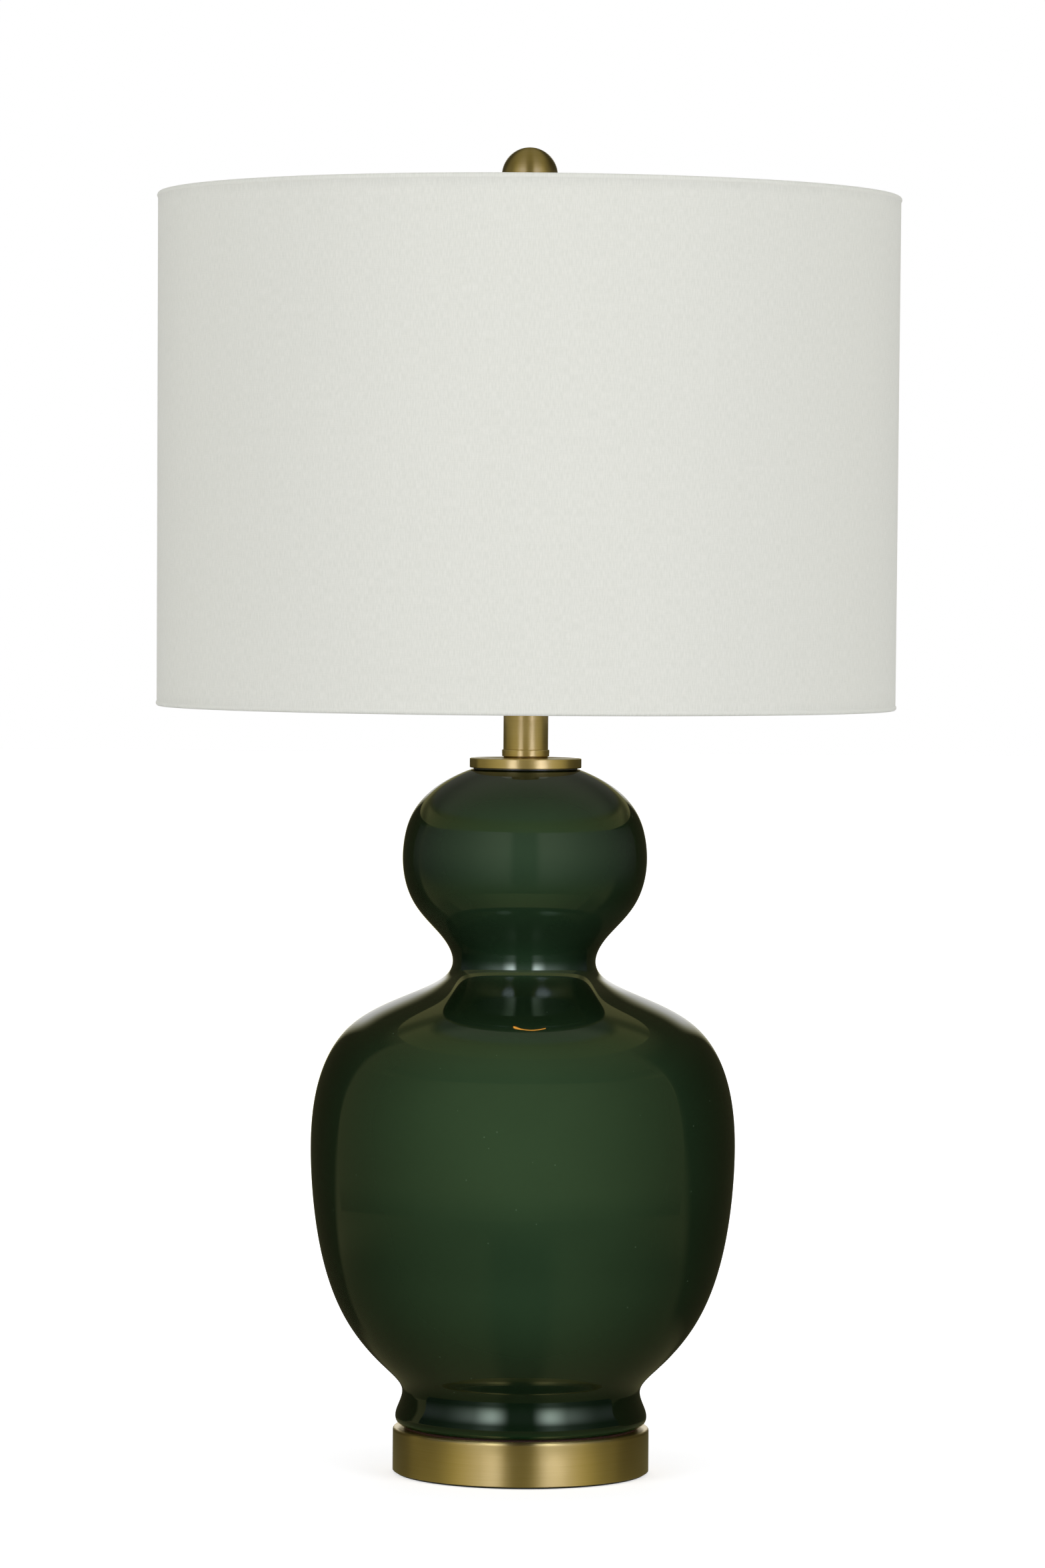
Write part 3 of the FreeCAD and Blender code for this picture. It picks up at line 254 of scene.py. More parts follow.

# %% [markdown]
# ## Green glass
#
# The body is blown glass, thick and so deeply coloured that it looks solid. Light that goes in
# at a slant travels further through it and comes back darker, which is what the facing share
# does here. The depth of the colour also changes with the height: a table paints darker bands
# of shade on the foot, the lower half of the belly, the waist and the underside of the bowl,
# partly also where the wall is thicker; it is a little lighter above the waist; and the foot's
# lower edge gets a painted glow of purer green, for light gathered in the glass there. A few
# seeds and a slow wave in the surface, left by blowing, keep the reflections from being
# perfect, and a second coat of polish makes them brighter at the foot and the waist.

# %% Glass
glass = finish("green_glass")
x, y, z = glass.place()
spot = glass.vector(x, y, z)
slant = glass.node("LayerWeight", None, {"Blend": 0.5}, "Facing")
head_on = glass.math("POWER", 1 - slant, 2.2)
DEEP_GREEN, PLAIN_GREEN = (0.0176, 0.0430, 0.0195, 1), (0.0210, 0.0500, 0.0225, 1)
SLANT_GREEN, THICK_SHADED_GREEN = (0.0020, 0.0050, 0.0015, 1), (0.0015, 0.0045, 0.0015, 1)
THIN_GREEN, FOOT_GLOW_GREEN = (0.05, 0.09, 0.045, 1), (0.008, 0.060, 0.020, 1)
SEED_GREEN, REFLECTED_GREEN = (0.10, 0.16, 0.10, 1), (0.84, 1.0, 0.70, 1)
drift = glass.noise(spot, 9.0, 3.0)
green = glass.blend(glass.ramp(drift, 0.3, 0.7), DEEP_GREEN, PLAIN_GREEN)
green = glass.blend(head_on, SLANT_GREEN, green)
# Painted shade: darker bands where shade falls, on the foot, the lower half of the belly, the
# waist and the underside of the bowl, partly also where the wall is thicker.
THICK_AND_SHADED_BANDS = [
    ((0.105, 0.125, 0.140, 0.165), 0.14),
    ((0.262, 0.272, 0.280, 0.296), 0.32),
    ((0.298, 0.315, 0.318, 0.345), 0.22),
]
thick_and_shaded = glass.ramp(z, 0.045, 0.060, 0.85, 0.0)
for heights, share in THICK_AND_SHADED_BANDS:
    thick_and_shaded = thick_and_shaded + glass.between(z, *heights) * share
green = glass.blend(thick_and_shaded, green, THICK_SHADED_GREEN)
green = glass.blend(glass.between(z, 0.288, 0.298, 0.306, 0.318) * 0.08, green, THIN_GREEN)
# Painted glow: the foot's lower edge is painted a brighter, purer green for light gathered in the
# glass there.
green = glass.blend(glass.ramp(z, 0.0262, 0.0310, 0.35, 0.0), green, FOOT_GLOW_GREEN)
cells = glass.node("TexVoronoi", None, {"Vector": spot, "Scale": 160.0}, "Distance")
chance = glass.noise(spot, 75.0, 0.0)
seed = glass.ramp(cells, 0.05, 0.09, 1.0, 0.0) * glass.ramp(chance, 0.66, 0.70)
green = glass.blend(seed * 0.35, green, SEED_GREEN)
wave = glass.noise(glass.vector(x * 7, y * 7, z * 22), 1.0, 1.0)
smear = glass.noise(spot, 14.0, 4.0)
polish = glass.ramp(z, 0.036, 0.048, 0.3, 0.0) + glass.between(z, 0.262, 0.270, 0.276, 0.292)
glass.shade(
    base_color=green, roughness=glass.ramp(smear, 0.45, 0.8, 0.035, 0.085), ior=1.5,
    specular_tint=REFLECTED_GREEN, coat_weight=polish, coat_roughness=0.03,
    normal=glass.bump(wave + seed * 0.01, 0.0009))
print("glass nodes", len(glass.tree.nodes))

# %% [markdown]
# ## Shade cloth
#
# The cloth is an off-white poly-linen with a tabby weave. Its threads lie about half a
# millimetre apart, the upright ones show more than the level ones, and some are thicker for a
# few centimetres, which shows as faint slubs. Each kind of thread is noise that is drawn out
# along it. The pattern follows the drum, so the angle round the axis is first turned into a
# distance along the cloth. The lining is smoother and warmer.

# %% Cloth
SHADE_RADIUS, WEAVE_PITCH = 0.2025, 0.00055
DARK_THREAD, LIGHT_THREAD = (0.712, 0.720, 0.655, 1), (0.772, 0.776, 0.712, 1)
DARK_LINING, LIGHT_LINING = (0.76, 0.74, 0.67, 1), (0.82, 0.80, 0.73, 1)
cloth = finish("shade_cloth")
x, y, z = cloth.place()
along = cloth.math("ARCTAN2", x, 0 - y) * SHADE_RADIUS
fine, drawn = 1.0 / WEAVE_PITCH, 0.12 / WEAVE_PITCH
upright = cloth.noise(cloth.vector(along * fine, z * drawn, 0.0), 1.0, 1.0)
level = cloth.noise(cloth.vector(along * drawn, z * fine, 7.0), 1.0, 1.0)
slub = cloth.noise(cloth.vector(along * 420, z * 14, 3.0), 1.0, 2.0)
broad = cloth.noise(cloth.vector(along * 30, z * 6, 5.0), 1.0, 1.0)
threads = upright * 0.75 + level * 0.25
tone = threads * 0.88 + slub * 0.08 + broad * 0.04
cloth.shade(
    base_color=cloth.blend(cloth.ramp(tone, 0.34, 0.66), DARK_THREAD, LIGHT_THREAD),
    roughness=0.88, sheen_weight=0.12, sheen_roughness=0.5,
    normal=cloth.bump(threads + slub * 0.15, 0.00005, 0.6))

lining = finish("shade_lining")
spot = lining.vector(*lining.place())
mist = lining.noise(spot, 18.0, 3.0)
lining.shade(
    base_color=lining.blend(mist, DARK_LINING, LIGHT_LINING),
    roughness=0.42 + mist * 0.12, normal=lining.bump(lining.noise(spot, 900.0, 2.0), 0.00003))
print("cloth nodes", len(cloth.tree.nodes), "lining nodes", len(lining.tree.nodes))

# %% [markdown]
# ## The plainer finishes
#
# Each of these is one speckled material with its own colours, grain and gloss: cast iron has a
# coarse skin, felt is fibrous and dull, moulded plastic is nearly even, and card shows its
# fibres. A table holds the differences: a dark and a light colour, how fine the specks are, the
# roughness, the depth of the bump and what else the shader needs.


# %% Speckled finishes
def speckled(name, first, second, scale, rough, depth, more):
    """Two colours mixed by noise of one scale per metre, with bump of the same noise. more
    holds what else the shader needs."""
    made = finish(name)
    where = made.vector(*made.place())
    grain = made.noise(where, scale, 4.0, 0.6)
    patch = made.noise(where, 30.0, 2.0)
    share = made.ramp(grain * 0.7 + patch * 0.3, 0.35, 0.65)
    made.shade(
        base_color=made.blend(share, (*first, 1), (*second, 1)),
        roughness=rough + (patch - 0.5) * 0.12, normal=made.bump(grain, depth), **more)


METAL, WAXED = {"metallic": 1.0}, {"coat_weight": 0.3}
HALF_METAL, FUZZY = {"metallic": 0.6}, {"sheen_weight": 0.4}
CLEAR, SATIN = {"ior": 1.49}, {"coat_weight": 0.3, "coat_roughness": 0.25}
SPECKLED = {
    "zinc_steel": ((0.46, 0.47, 0.47), (0.60, 0.61, 0.61), 900, 0.36, 0.00001, METAL),
    "felt": ((0.012, 0.016, 0.012), (0.030, 0.036, 0.028), 2600, 0.95, 0.00025, FUZZY),
    "iron": ((0.055, 0.055, 0.058), (0.085, 0.085, 0.088), 700, 0.62, 0.0002, HALF_METAL),
    "black_plastic": ((0.012, 0.012, 0.012), (0.022, 0.022, 0.022), 1400, 0.38, 0.00003, {}),
    "clear_plastic": ((0.060, 0.070, 0.060), (0.085, 0.095, 0.085), 260, 0.30, 0.00002, CLEAR),
    "gasket_rubber": ((0.035, 0.012, 0.008), (0.060, 0.022, 0.014), 800, 0.6, 0.00004, {}),
    "liner_card": ((0.20, 0.15, 0.10), (0.30, 0.23, 0.16), 1500, 0.85, 0.0001, {}),
    "moulded_black": ((0.010, 0.009, 0.009), (0.020, 0.018, 0.017), 1100, 0.30, 0.00003, {}),
    "aluminium": ((0.72, 0.73, 0.74), (0.82, 0.83, 0.84), 700, 0.24, 0.00001, METAL),
    "frosted_glass": ((0.80, 0.80, 0.78), (0.86, 0.86, 0.84), 3000, 0.30, 0.00002, SATIN),
    "seal_glass": ((0.006, 0.006, 0.008), (0.014, 0.014, 0.018), 500, 0.10, 0.00001, {}),
    "solder": ((0.55, 0.55, 0.54), (0.68, 0.68, 0.67), 600, 0.28, 0.0001, METAL),
    "white_wire": ((0.70, 0.70, 0.68), (0.78, 0.78, 0.76), 500, 0.34, 0.00004, WAXED),
}
for name, numbers in SPECKLED.items():
    speckled(name, *numbers)
print("plainer finishes", len(SPECKLED), "of", len(FINISHES))

# %% [markdown]
# ## Finishes on the CAD pieces
#
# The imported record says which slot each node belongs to. Every CAD mesh gets the finish of its
# slot, also those that a smoother piece replaces further down.

# %% CAD finishes
slot_of = {part["node"]: part["material_slot"] for part in frame["record"]["subparts"]}
for node, piece in frame["nodes"].items():
    piece.data.materials.clear()
    piece.data.materials.append(FINISHES[slot_of[node]])
print("CAD pieces finished", len(slot_of))

# %% [markdown]
# ## From arrays to meshes
#
# Nearly every new piece is a grid of points: rows along a profile and columns round an axis or
# along a path. One function turns such a grid into a mesh, with each square of neighbours as a
# face. Where a row shrinks to a point, on the axis, its points are merged.


# %% Grid to mesh
def grid_piece(name, points, body, slot, finish_name=None, wrap_rows=False):
    """Mesh from points[row, column, xyz], whose last column joins the first: a face joins
    (i, j), (i, j+1), (i+1, j+1) and (i+1, j). It faces outwards if the rows run along a profile
    with its outside on the right."""
    rows, columns = points.shape[:2]
    i, j = np.meshgrid(np.arange(rows - (not wrap_rows)), np.arange(columns), indexing="ij")
    next_row, beside = (i + 1) % rows * columns, (j + 1) % columns
    corners = [i * columns + j, i * columns + beside, next_row + beside, next_row + j]
    faces = np.stack(corners, -1).reshape(-1, 4)
    mesh = bpy.data.meshes.new(name)
    mesh.from_pydata(points.reshape(-1, 3).tolist(), [], faces.tolist())
    work = bmesh.new()
    work.from_mesh(mesh)
    bmesh.ops.remove_doubles(work, verts=work.verts, dist=1e-7)
    work.to_mesh(mesh)
    work.free()
    mesh.shade_smooth()
    mesh.materials.append(FINISHES[finish_name or slot])
    piece = placed(name, mesh)
    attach(piece, body)
    print(name, len(mesh.polygons), "faces")
    return piece


# %% [markdown]
# ## Turning a profile
#
# A lathe turns a profile of radius and height: x = r cos a and y = r sin a for every angle a.
# Real edges are never sharp, and a small rounding is what catches the light along the rim of
# the base and of the neck plate. So a profile is given by its corners, each with the radius of
# its rounding, and a point just before and after each arc keeps the flats beside it flat.


# %% Lathe
SUPPORT = 0.25


def eased(corners, steps=5):
    """Points (r, z) in millimetres along corners (r, z, rounding): the arc at a corner touches
    both sides at rounding / tan(half its angle) from it. SUPPORT is how far beyond the arc the
    extra points lie, as a share of the rounding."""
    points = []
    for index, corner in enumerate(corners):
        here, rounding = np.array(corner[:2], float), corner[2] if len(corner) > 2 else 0.0
        if not rounding:
            points.append(here)
            continue
        back = corners[index - 1][:2] - here
        ahead = corners[(index + 1) % len(corners)][:2] - here
        back, ahead = back / np.linalg.norm(back), ahead / np.linalg.norm(ahead)
        half = math.acos(np.clip(back @ ahead, -1, 1)) / 2
        touch = rounding / math.tan(half)
        middle = back + ahead
        centre = here + middle / np.linalg.norm(middle) * rounding / math.sin(half)
        start, end = here + back * touch - centre, here + ahead * touch - centre
        sweep = math.pi - 2 * half
        share = np.linspace(0, 1, steps + 1)[:, None]
        arc = (np.sin((1 - share) * sweep) * start + np.sin(share * sweep) * end) / math.sin(sweep)
        flat = touch + rounding * SUPPORT
        points += [here + back * flat, *(centre + arc), here + ahead * flat]
    return np.array(points)


def once_round(count):
    """Angles once round a circle."""
    return np.linspace(0, 2 * np.pi, count, endpoint=False)


def around(r, z, a):
    """Grid of points in metres at radius r and height z in millimetres and angle a."""
    return np.stack([r * np.cos(a), r * np.sin(a), z + 0 * r * a], -1) * MM


def turned(name, profile, body, slot, columns, closed=True, finish_name=None):
    """The profile's points (r, z) in millimetres, carried once round the upright axis."""
    r, z = np.asarray(profile, float).T[:, :, None]
    points = around(r, z, once_round(columns))
    return grid_piece(name, points, body, slot, finish_name, wrap_rows=closed)


# %% [markdown]
# ## The glass body
#
# The gourd's outline is one smooth curve steered by seventeen control points: foot, cove, belly,
# waist, upper bowl and mouth. The curve is a cubic B-spline, worked out with de Boor's rule as
# a matrix of weights, so the shape is the same one that the CAD model has. The inside follows
# the outside at the thickness of the wall, and the two meet in a rounded lip at the mouth and
# at the hole in the foot. Heights count from the glass's own foot until the last step.


# %% Gourd outline
GLASS_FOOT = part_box("gourd_body")[0].z / MM
GOURD = np.array([
    (62.0, 0.0), (68.3, 0.0), (71.1, 6.7), (61.1, 20.7), (77.9, 33.5), (98.5, 57.4),
    (111.6, 93.4), (117.2, 140.5), (116.1, 185.1), (99.7, 221.4), (62.6, 236.5), (34.7, 248.6),
    (42.7, 268.4), (64.3, 285.6), (70.3, 321.1), (57.4, 350.1), (29.5, 360.5)])


def bspline(poles, count):
    """Points on the uniform cubic B-spline that starts and ends on its outer poles: each basis
    weight is a blend of two weights of one degree less."""
    spans = len(poles) - 3
    knots = np.concatenate([[0] * 3, np.arange(spans + 1), [spans] * 3]).astype(float)
    t = np.linspace(0, spans, count)[:, None]
    t[-1] -= 1e-9
    weights = ((knots[:-1] <= t) & (t < knots[1:])).astype(float)
    for degree in (1, 2, 3):
        span_left = knots[degree:-1] - knots[:-degree - 1]
        span_right = knots[degree + 1:] - knots[1:-degree]
        left = np.divide(t - knots[:-degree - 1], span_left, where=span_left > 0,
                         out=np.zeros((count, len(span_left))))
        right = np.divide(knots[degree + 1:] - t, span_right, where=span_right > 0,
                          out=np.zeros((count, len(span_right))))
        weights = left * weights[:, :-1] + right * weights[:, 1:]
    return weights @ poles


def offset(curve, distance):
    """The curve moved to its left by a distance, along its own normals."""
    slope = np.gradient(curve, axis=0)
    slope /= np.linalg.norm(slope, axis=1)[:, None]
    return curve + np.stack([-slope[:, 1], slope[:, 0]], -1) * distance


GLASS_WALL, FOOT_HOLE, MOUTH_HOLE, FOOT_LIP = 3.5, 15.0, 26.0, 1.2
outer = bspline(GOURD, 420)
inner = offset(outer, GLASS_WALL)
inner = inner[(inner[:, 1] > GLASS_WALL + FOOT_LIP) & (inner[:, 1] < GOURD[-1, 1] - 3.0)]
foot = eased([(62.0, 0), (FOOT_HOLE, 0, FOOT_LIP), (FOOT_HOLE, GLASS_WALL, FOOT_LIP),
              (58.0, GLASS_WALL)])[1:-1]
mouth = eased([(29.5, 360.5), (MOUTH_HOLE, 360.5, 0.8), (MOUTH_HOLE, 357.6, 0.6),
               (30.0, 357.0)])[1:-1]
section = np.concatenate([outer, mouth, inner[::-1], foot[::-1]])
section[:, 1] += GLASS_FOOT
gourd = turned("gourd_glass", section, "lamp_base", "green_glass", 256)
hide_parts("gourd_body")
print("belly", round(outer[:, 0].max() * 2, 1), "mm across")

# %% [markdown]
# ## The base
#
# The base is a cup pressed from brass sheet, 140 mm across. Its upper edge is bent over a small
# radius, and its lower edge is cut square and lightly broken. A round hole low in its back wall
# takes the bushing, so it is drilled with a boolean after the cup is turned.

# %% Base cup
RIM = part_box("base_shell")[0].z / MM
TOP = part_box("base_shell")[1].z / MM
BASE_RADIUS, SHEET, PIPE_HOLE = 70.3, 1.2, 4.9
BUSHING_RADIUS, BUSHING_HIGH, DRILL_LONG = 4.7, 8.0, 20.0
cup = eased([
    (PIPE_HOLE, TOP - SHEET), (BASE_RADIUS - SHEET, TOP - SHEET, 0.5),
    (BASE_RADIUS - SHEET, RIM, 0.25), (BASE_RADIUS, RIM, 0.3), (BASE_RADIUS, TOP, 1.6),
    (PIPE_HOLE, TOP)], 7)
base = turned("base_cup", cup, "lamp_base", "satin_brass", 288)
drill = bpy.data.meshes.new("drill")
drill_place = Matrix.Translation((0, BASE_RADIUS * MM, BUSHING_HIGH * MM))
tool = bmesh.new()
bmesh.ops.create_cone(
    tool, cap_ends=True, segments=64, radius1=BUSHING_RADIUS * MM, radius2=BUSHING_RADIUS * MM,
    depth=DRILL_LONG * MM, matrix=drill_place @ Matrix.Rotation(math.pi / 2, 4, "X"))
tool.to_mesh(drill)
tool.free()
drill_piece = placed("drill", drill)
cutter = base.modifiers.new("bushing_hole", "BOOLEAN")
cutter.object, cutter.operation, cutter.solver = drill_piece, "DIFFERENCE", "EXACT"
depsgraph = bpy.context.evaluated_depsgraph_get()
drilled = bpy.data.meshes.new_from_object(base.evaluated_get(depsgraph))
base.modifiers.clear()
base.data = drilled
bpy.data.objects.remove(drill_piece)
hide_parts("base_shell")
print("base", len(drilled.polygons), "faces after drilling")

# %% [markdown]
# ## The neck
#
# Between the glass and the shade stand three turned pieces: a thick round plate with broken
# edges, a collar with a groove under its ring, and a plain tube. The tube's foot stands on the
# collar, and a dark joint shows where they meet.

# %% Neck
PLATE_LOW, PLATE_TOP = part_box("neck_plate")[0].z / MM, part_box("neck_plate")[1].z / MM
TUBE_LOW, TUBE_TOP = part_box("neck_tube")[0].z / MM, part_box("neck_tube")[1].z / MM
PLATE_RADIUS, GROOVE_RADIUS, COLLAR_RADIUS, SPIGOT_RADIUS = 30.65, 12.1, 12.95, 11.15
TUBE_RADIUS, TUBE_BORE = 12.25, 11.25
groove_top, collar_top, spigot_top = PLATE_TOP + 1.0, PLATE_TOP + 4.7, PLATE_TOP + 8.7
plate = turned("neck_disc", eased([
    (PIPE_HOLE, PLATE_LOW), (PLATE_RADIUS, PLATE_LOW, 0.5), (PLATE_RADIUS, PLATE_TOP, 0.5),
    (PIPE_HOLE, PLATE_TOP)]), "lamp_base", "satin_brass", 224)
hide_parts("neck_plate")
collar = turned("neck_ring", eased([
    (PIPE_HOLE, PLATE_TOP), (GROOVE_RADIUS, PLATE_TOP), (GROOVE_RADIUS, groove_top),
    (COLLAR_RADIUS, groove_top, 0.3), (COLLAR_RADIUS, collar_top, 0.45),
    (SPIGOT_RADIUS, collar_top), (SPIGOT_RADIUS, spigot_top, 0.3), (PIPE_HOLE, spigot_top)]),
    "lamp_base", "satin_brass", 160)
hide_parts("neck_collar")
tube = turned("neck_pipe", eased([
    (TUBE_BORE, TUBE_LOW), (TUBE_RADIUS, TUBE_LOW, 0.25), (TUBE_RADIUS, TUBE_TOP, 0.25),
    (TUBE_BORE, TUBE_TOP, 0.2)]), "lamp_base", "satin_brass", 160, finish_name="tube_brass")
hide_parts("neck_tube")

# %% [markdown]
# ## Wire
#
# The harp, the spider's arms and the rings are round wire bent in one plane. A circle is carried
# along the wire's centre line: at each point it stands square to the path, so its two directions
# are the plane's own normal and the path's left-hand side. The path itself is straight runs
# joined by arcs, as a bending tool leaves them.


# %% Bent wire
TIP = 0.35


def bent(corners, steps):
    """Points along corners (x, z, bend radius): the rounding of a profile, without its
    supports."""
    points = [np.array(corners[0][:2], float)]
    for index in range(1, len(corners) - 1):
        trio = [corners[index - 1][:2], corners[index], corners[index + 1][:2]]
        points += list(eased(trio, steps)[2:-2])
    points.append(np.array(corners[-1][:2], float))
    return np.array(points)


def wire(name, path, plane_normal, radius, body, slot, ring):
    """Tube round a flat path of points in millimetres: centre + r (cos a n + sin a (n x t)).
    Both ends shrink to a point over a rounded tip, which is TIP of the radius long."""
    path, normal = np.asarray(path, float), np.asarray(plane_normal, float)
    along = np.gradient(path, axis=0)
    along /= np.linalg.norm(along, axis=1)[:, None]
    side = np.cross(normal, along)
    tip = np.linspace(0, np.pi / 2, 5)[:-1]
    sizes = np.concatenate([np.sin(tip), np.ones(len(path)), np.sin(tip)[::-1]]) * radius
    reach = radius * TIP * np.cos(tip)[:, None]
    first, last = path[0] - along[0] * reach, path[-1] + along[-1] * reach[::-1]
    centres = np.concatenate([first, path, last])
    ends = len(tip)
    sides = np.concatenate([np.repeat(side[:1], ends, 0), side, np.repeat(side[-1:], ends, 0)])
    a = once_round(ring)[None, :, None]
    circle = np.cos(a) * normal + np.sin(a) * sides[:, None]
    points = centres[:, None] + circle * sizes[:, None, None]
    return grid_piece(name, points * MM, body, slot)


# %% [markdown]
# ## The harp
#
# The harp is one bow of 3.9 mm brass wire: straight legs, a swell to clear the bulb, and a flat
# top with an eye for the stud. The corners of one half follow from the angles of the swell and
# the radii of its bends, and the other half mirrors it.

# %% Harp
LEG_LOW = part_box("harp_frame")[0].z / MM
HARP_HIGH, HALF_WIDE, LEG, SPLAY, LEAN = 224.0, 54.0, 27.5, math.radians(24), math.radians(14)
UPRIGHT, LEG_BEND, BOW_BEND, TOP_BEND, HARP_WIRE = 27.0, 40.0, 130.0, 26.0, 1.95
EYE_HOLE, EYE_RADIUS, EYE_HALF = 2.65, 7.0, 2.2
run = (HALF_WIDE - LEG - (LEG_BEND + BOW_BEND) * (1 - math.cos(SPLAY))) / math.sin(SPLAY)
bend_z = UPRIGHT + LEG_BEND * math.sin(SPLAY)
bow_z = bend_z + run * math.cos(SPLAY)
splay_corner = (LEG, UPRIGHT + LEG_BEND * math.tan(SPLAY / 2), LEG_BEND)
turn_z = bow_z + BOW_BEND * (math.sin(SPLAY) + math.sin(LEAN))
turn_x = HALF_WIDE - BOW_BEND * (1 - math.cos(LEAN))
rise = BOW_BEND * math.tan((SPLAY + LEAN) / 2)
bow_corner = (turn_x + rise * math.sin(LEAN), turn_z - rise * math.cos(LEAN), BOW_BEND)
top_x = turn_x - (HARP_HIGH - turn_z) * math.tan(LEAN)
half = [(LEG, 0.0), splay_corner, bow_corner, (top_x, HARP_HIGH, TOP_BEND), (0.0, HARP_HIGH)]
right = bent(half, 14)
whole = np.concatenate([right, (right * (-1, 1))[-2::-1]]) + (0, LEG_LOW)
whole = np.insert(whole, 1, 0, axis=1)
harp = wire("harp_wire", whole, (0, 1, 0), HARP_WIRE, "harp", "socket_brass", 24)
eye_low, eye_high = LEG_LOW + HARP_HIGH - EYE_HALF, LEG_LOW + HARP_HIGH + EYE_HALF
eye = turned("harp_eye", eased([
    (EYE_HOLE, eye_low, 0.3), (EYE_RADIUS, eye_low, 0.9),
    (EYE_RADIUS, eye_high, 0.9), (EYE_HOLE, eye_high, 0.3)]), "harp", "socket_brass", 64)
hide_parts("harp_frame")
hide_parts("harp_frame")

# %% [markdown]
# ## The bulb
#
# The bulb is frosted inside, so it looks like white porcelain. Its glass is a B-spline turned
# once, like the gourd. Its cap is rolled with a round thread: the radius of a turned sheet goes
# in and out with the height and the angle together, which winds the wave into a screw.

# %% Bulb
BULB_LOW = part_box("bulb_contact")[0].z / MM
BULB_POLES = np.array([(14, 25), (14, 42), (28.71, 58), (32.16, 78), (24, 108), (0, 108)], float)
BULB_WALL = 1.0
bulb_outer = bspline(BULB_POLES, 120)
bulb_inner = offset(bulb_outer, BULB_WALL)
bulb_inner = bulb_inner[bulb_inner[:, 0] > 0]
bulb_inner[-1, 0] = 0
bulb_section = np.concatenate([bulb_inner[::-1], bulb_outer]) + (0, BULB_LOW)
bulb_section[0] = (0, bulb_inner[-1, 1] + BULB_LOW)
bulb = turned("bulb_globe", bulb_section, "bulb", "frosted_glass", 96, closed=False)
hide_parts("bulb_glass")

THREAD_PITCH, THREAD_DEEP, CAP_RADIUS, CAP_TIP, CAP_SHEET = 3.6, 0.70, 13.1, 9.5, 0.4
CAP_LOW, CAP_TOP, CONE_HIGH = 4.2, 25.0, 3.0
THREAD_LOW, THREAD_TOP, THREAD_FADE = 7.4, 23.4, 1.5
height, a = np.linspace(CAP_LOW, CAP_TOP, 150)[:, None], once_round(96)
crest = 0.5 - 0.5 * np.cos(2 * np.pi * height / THREAD_PITCH - a)
fade = np.clip((height - THREAD_LOW) / THREAD_FADE, 0, 1)
fade = fade * np.clip((THREAD_TOP - height) / THREAD_FADE, 0, 1)
cone = np.clip((height - CAP_LOW) / CONE_HIGH, 0, 1)
cap_r = CAP_TIP + (CAP_RADIUS - CAP_TIP) * cone - THREAD_DEEP * crest * fade
outside = around(cap_r, BULB_LOW + height, a)
inside = around(cap_r - CAP_SHEET, BULB_LOW + height, a)
cap = grid_piece("bulb_screw_cap", np.concatenate([outside, inside[::-1]]), "bulb",
                 "aluminium", wrap_rows=True)
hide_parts("bulb_cap")

# %% [markdown]
# ## The drum shade
#
# The shade is a stiff white lining with the cloth glued on its outside. At each rim the cloth
# runs on round a ring of wire and is tucked in behind it, which makes the slightly proud roll
# along both edges and puckers a little there. The cloth is one profile from one tucked end to
# the other, turned once and given its thickness, and its two ends overlap in a lap 12 mm wide
# at the back.

# %% Shade cloth and lining
SHADE_LOW, SHADE_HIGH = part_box("shade_skin")[0].z / MM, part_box("shade_skin")[1].z / MM
R_LOW, R_HIGH, ROLL, INSET, CLOTH = 202.4, 203.1, 1.65, 0.5, 0.35
TUCK, PUCKER, PUCKER_FROM = math.radians(50), 0.05, 137.0


def hem(radius, ring_z, side):
    """Half of the cloth's line round a ring: an arc from the wall, under or over the ring, to
    the tucked end inside. side is -1 for the lower rim and 1 for the upper one."""
    bend = ROLL - CLOTH / 2
    start = math.acos((bend - INSET) / bend)
    a = np.linspace(-start, np.pi + TUCK, 22)
    return np.stack([radius - ROLL + bend * np.cos(a), ring_z + side * bend * np.sin(a)], -1)


low_hem = hem(R_LOW, SHADE_LOW + ROLL, -1)
high_hem = hem(R_HIGH, SHADE_HIGH - ROLL, 1)
wall = np.linspace(low_hem[0], high_hem[0], 42)[1:-1]
cloth_line = np.concatenate([low_hem[::-1], wall, high_hem])
a = once_round(360)
r, z = cloth_line.T[:, :, None]
at_a_rim = np.abs(z - (SHADE_LOW + SHADE_HIGH) / 2) > PUCKER_FROM
r = r + PUCKER * np.sin(37 * a + 1.3) * np.sin(11 * a) * at_a_rim
drum = grid_piece("shade_cloth_drum", around(r, z, a), "shade", "shade_cloth")
thickness = drum.modifiers.new("thickness", "SOLIDIFY")
thickness.thickness, thickness.offset = CLOTH * MM, 0.0
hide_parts("shade_skin")

LINE_OUT, LINE_IN = INSET + CLOTH, INSET + 0.9
lining_low, lining_high = SHADE_LOW + 2 * ROLL, SHADE_HIGH - 2 * ROLL
backing = turned("shade_backing", [
    (R_LOW - LINE_OUT, lining_low), (R_HIGH - LINE_OUT, lining_high),
    (R_HIGH - LINE_IN, lining_high), (R_LOW - LINE_IN, lining_low)], "shade", "shade_cloth", 360,
    finish_name="shade_lining")
backing.data.shade_flat()
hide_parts("shade_skin")

# %% [markdown]
# ## The lap at the back
#
# The drum's cloth ends in a lap: a strip with a folded edge over the start of the cloth. It is a
# grid bent to the drum's curve, one cloth thicker than the wall and rounded down on all sides,
# the more squarely the higher the power of its fold.

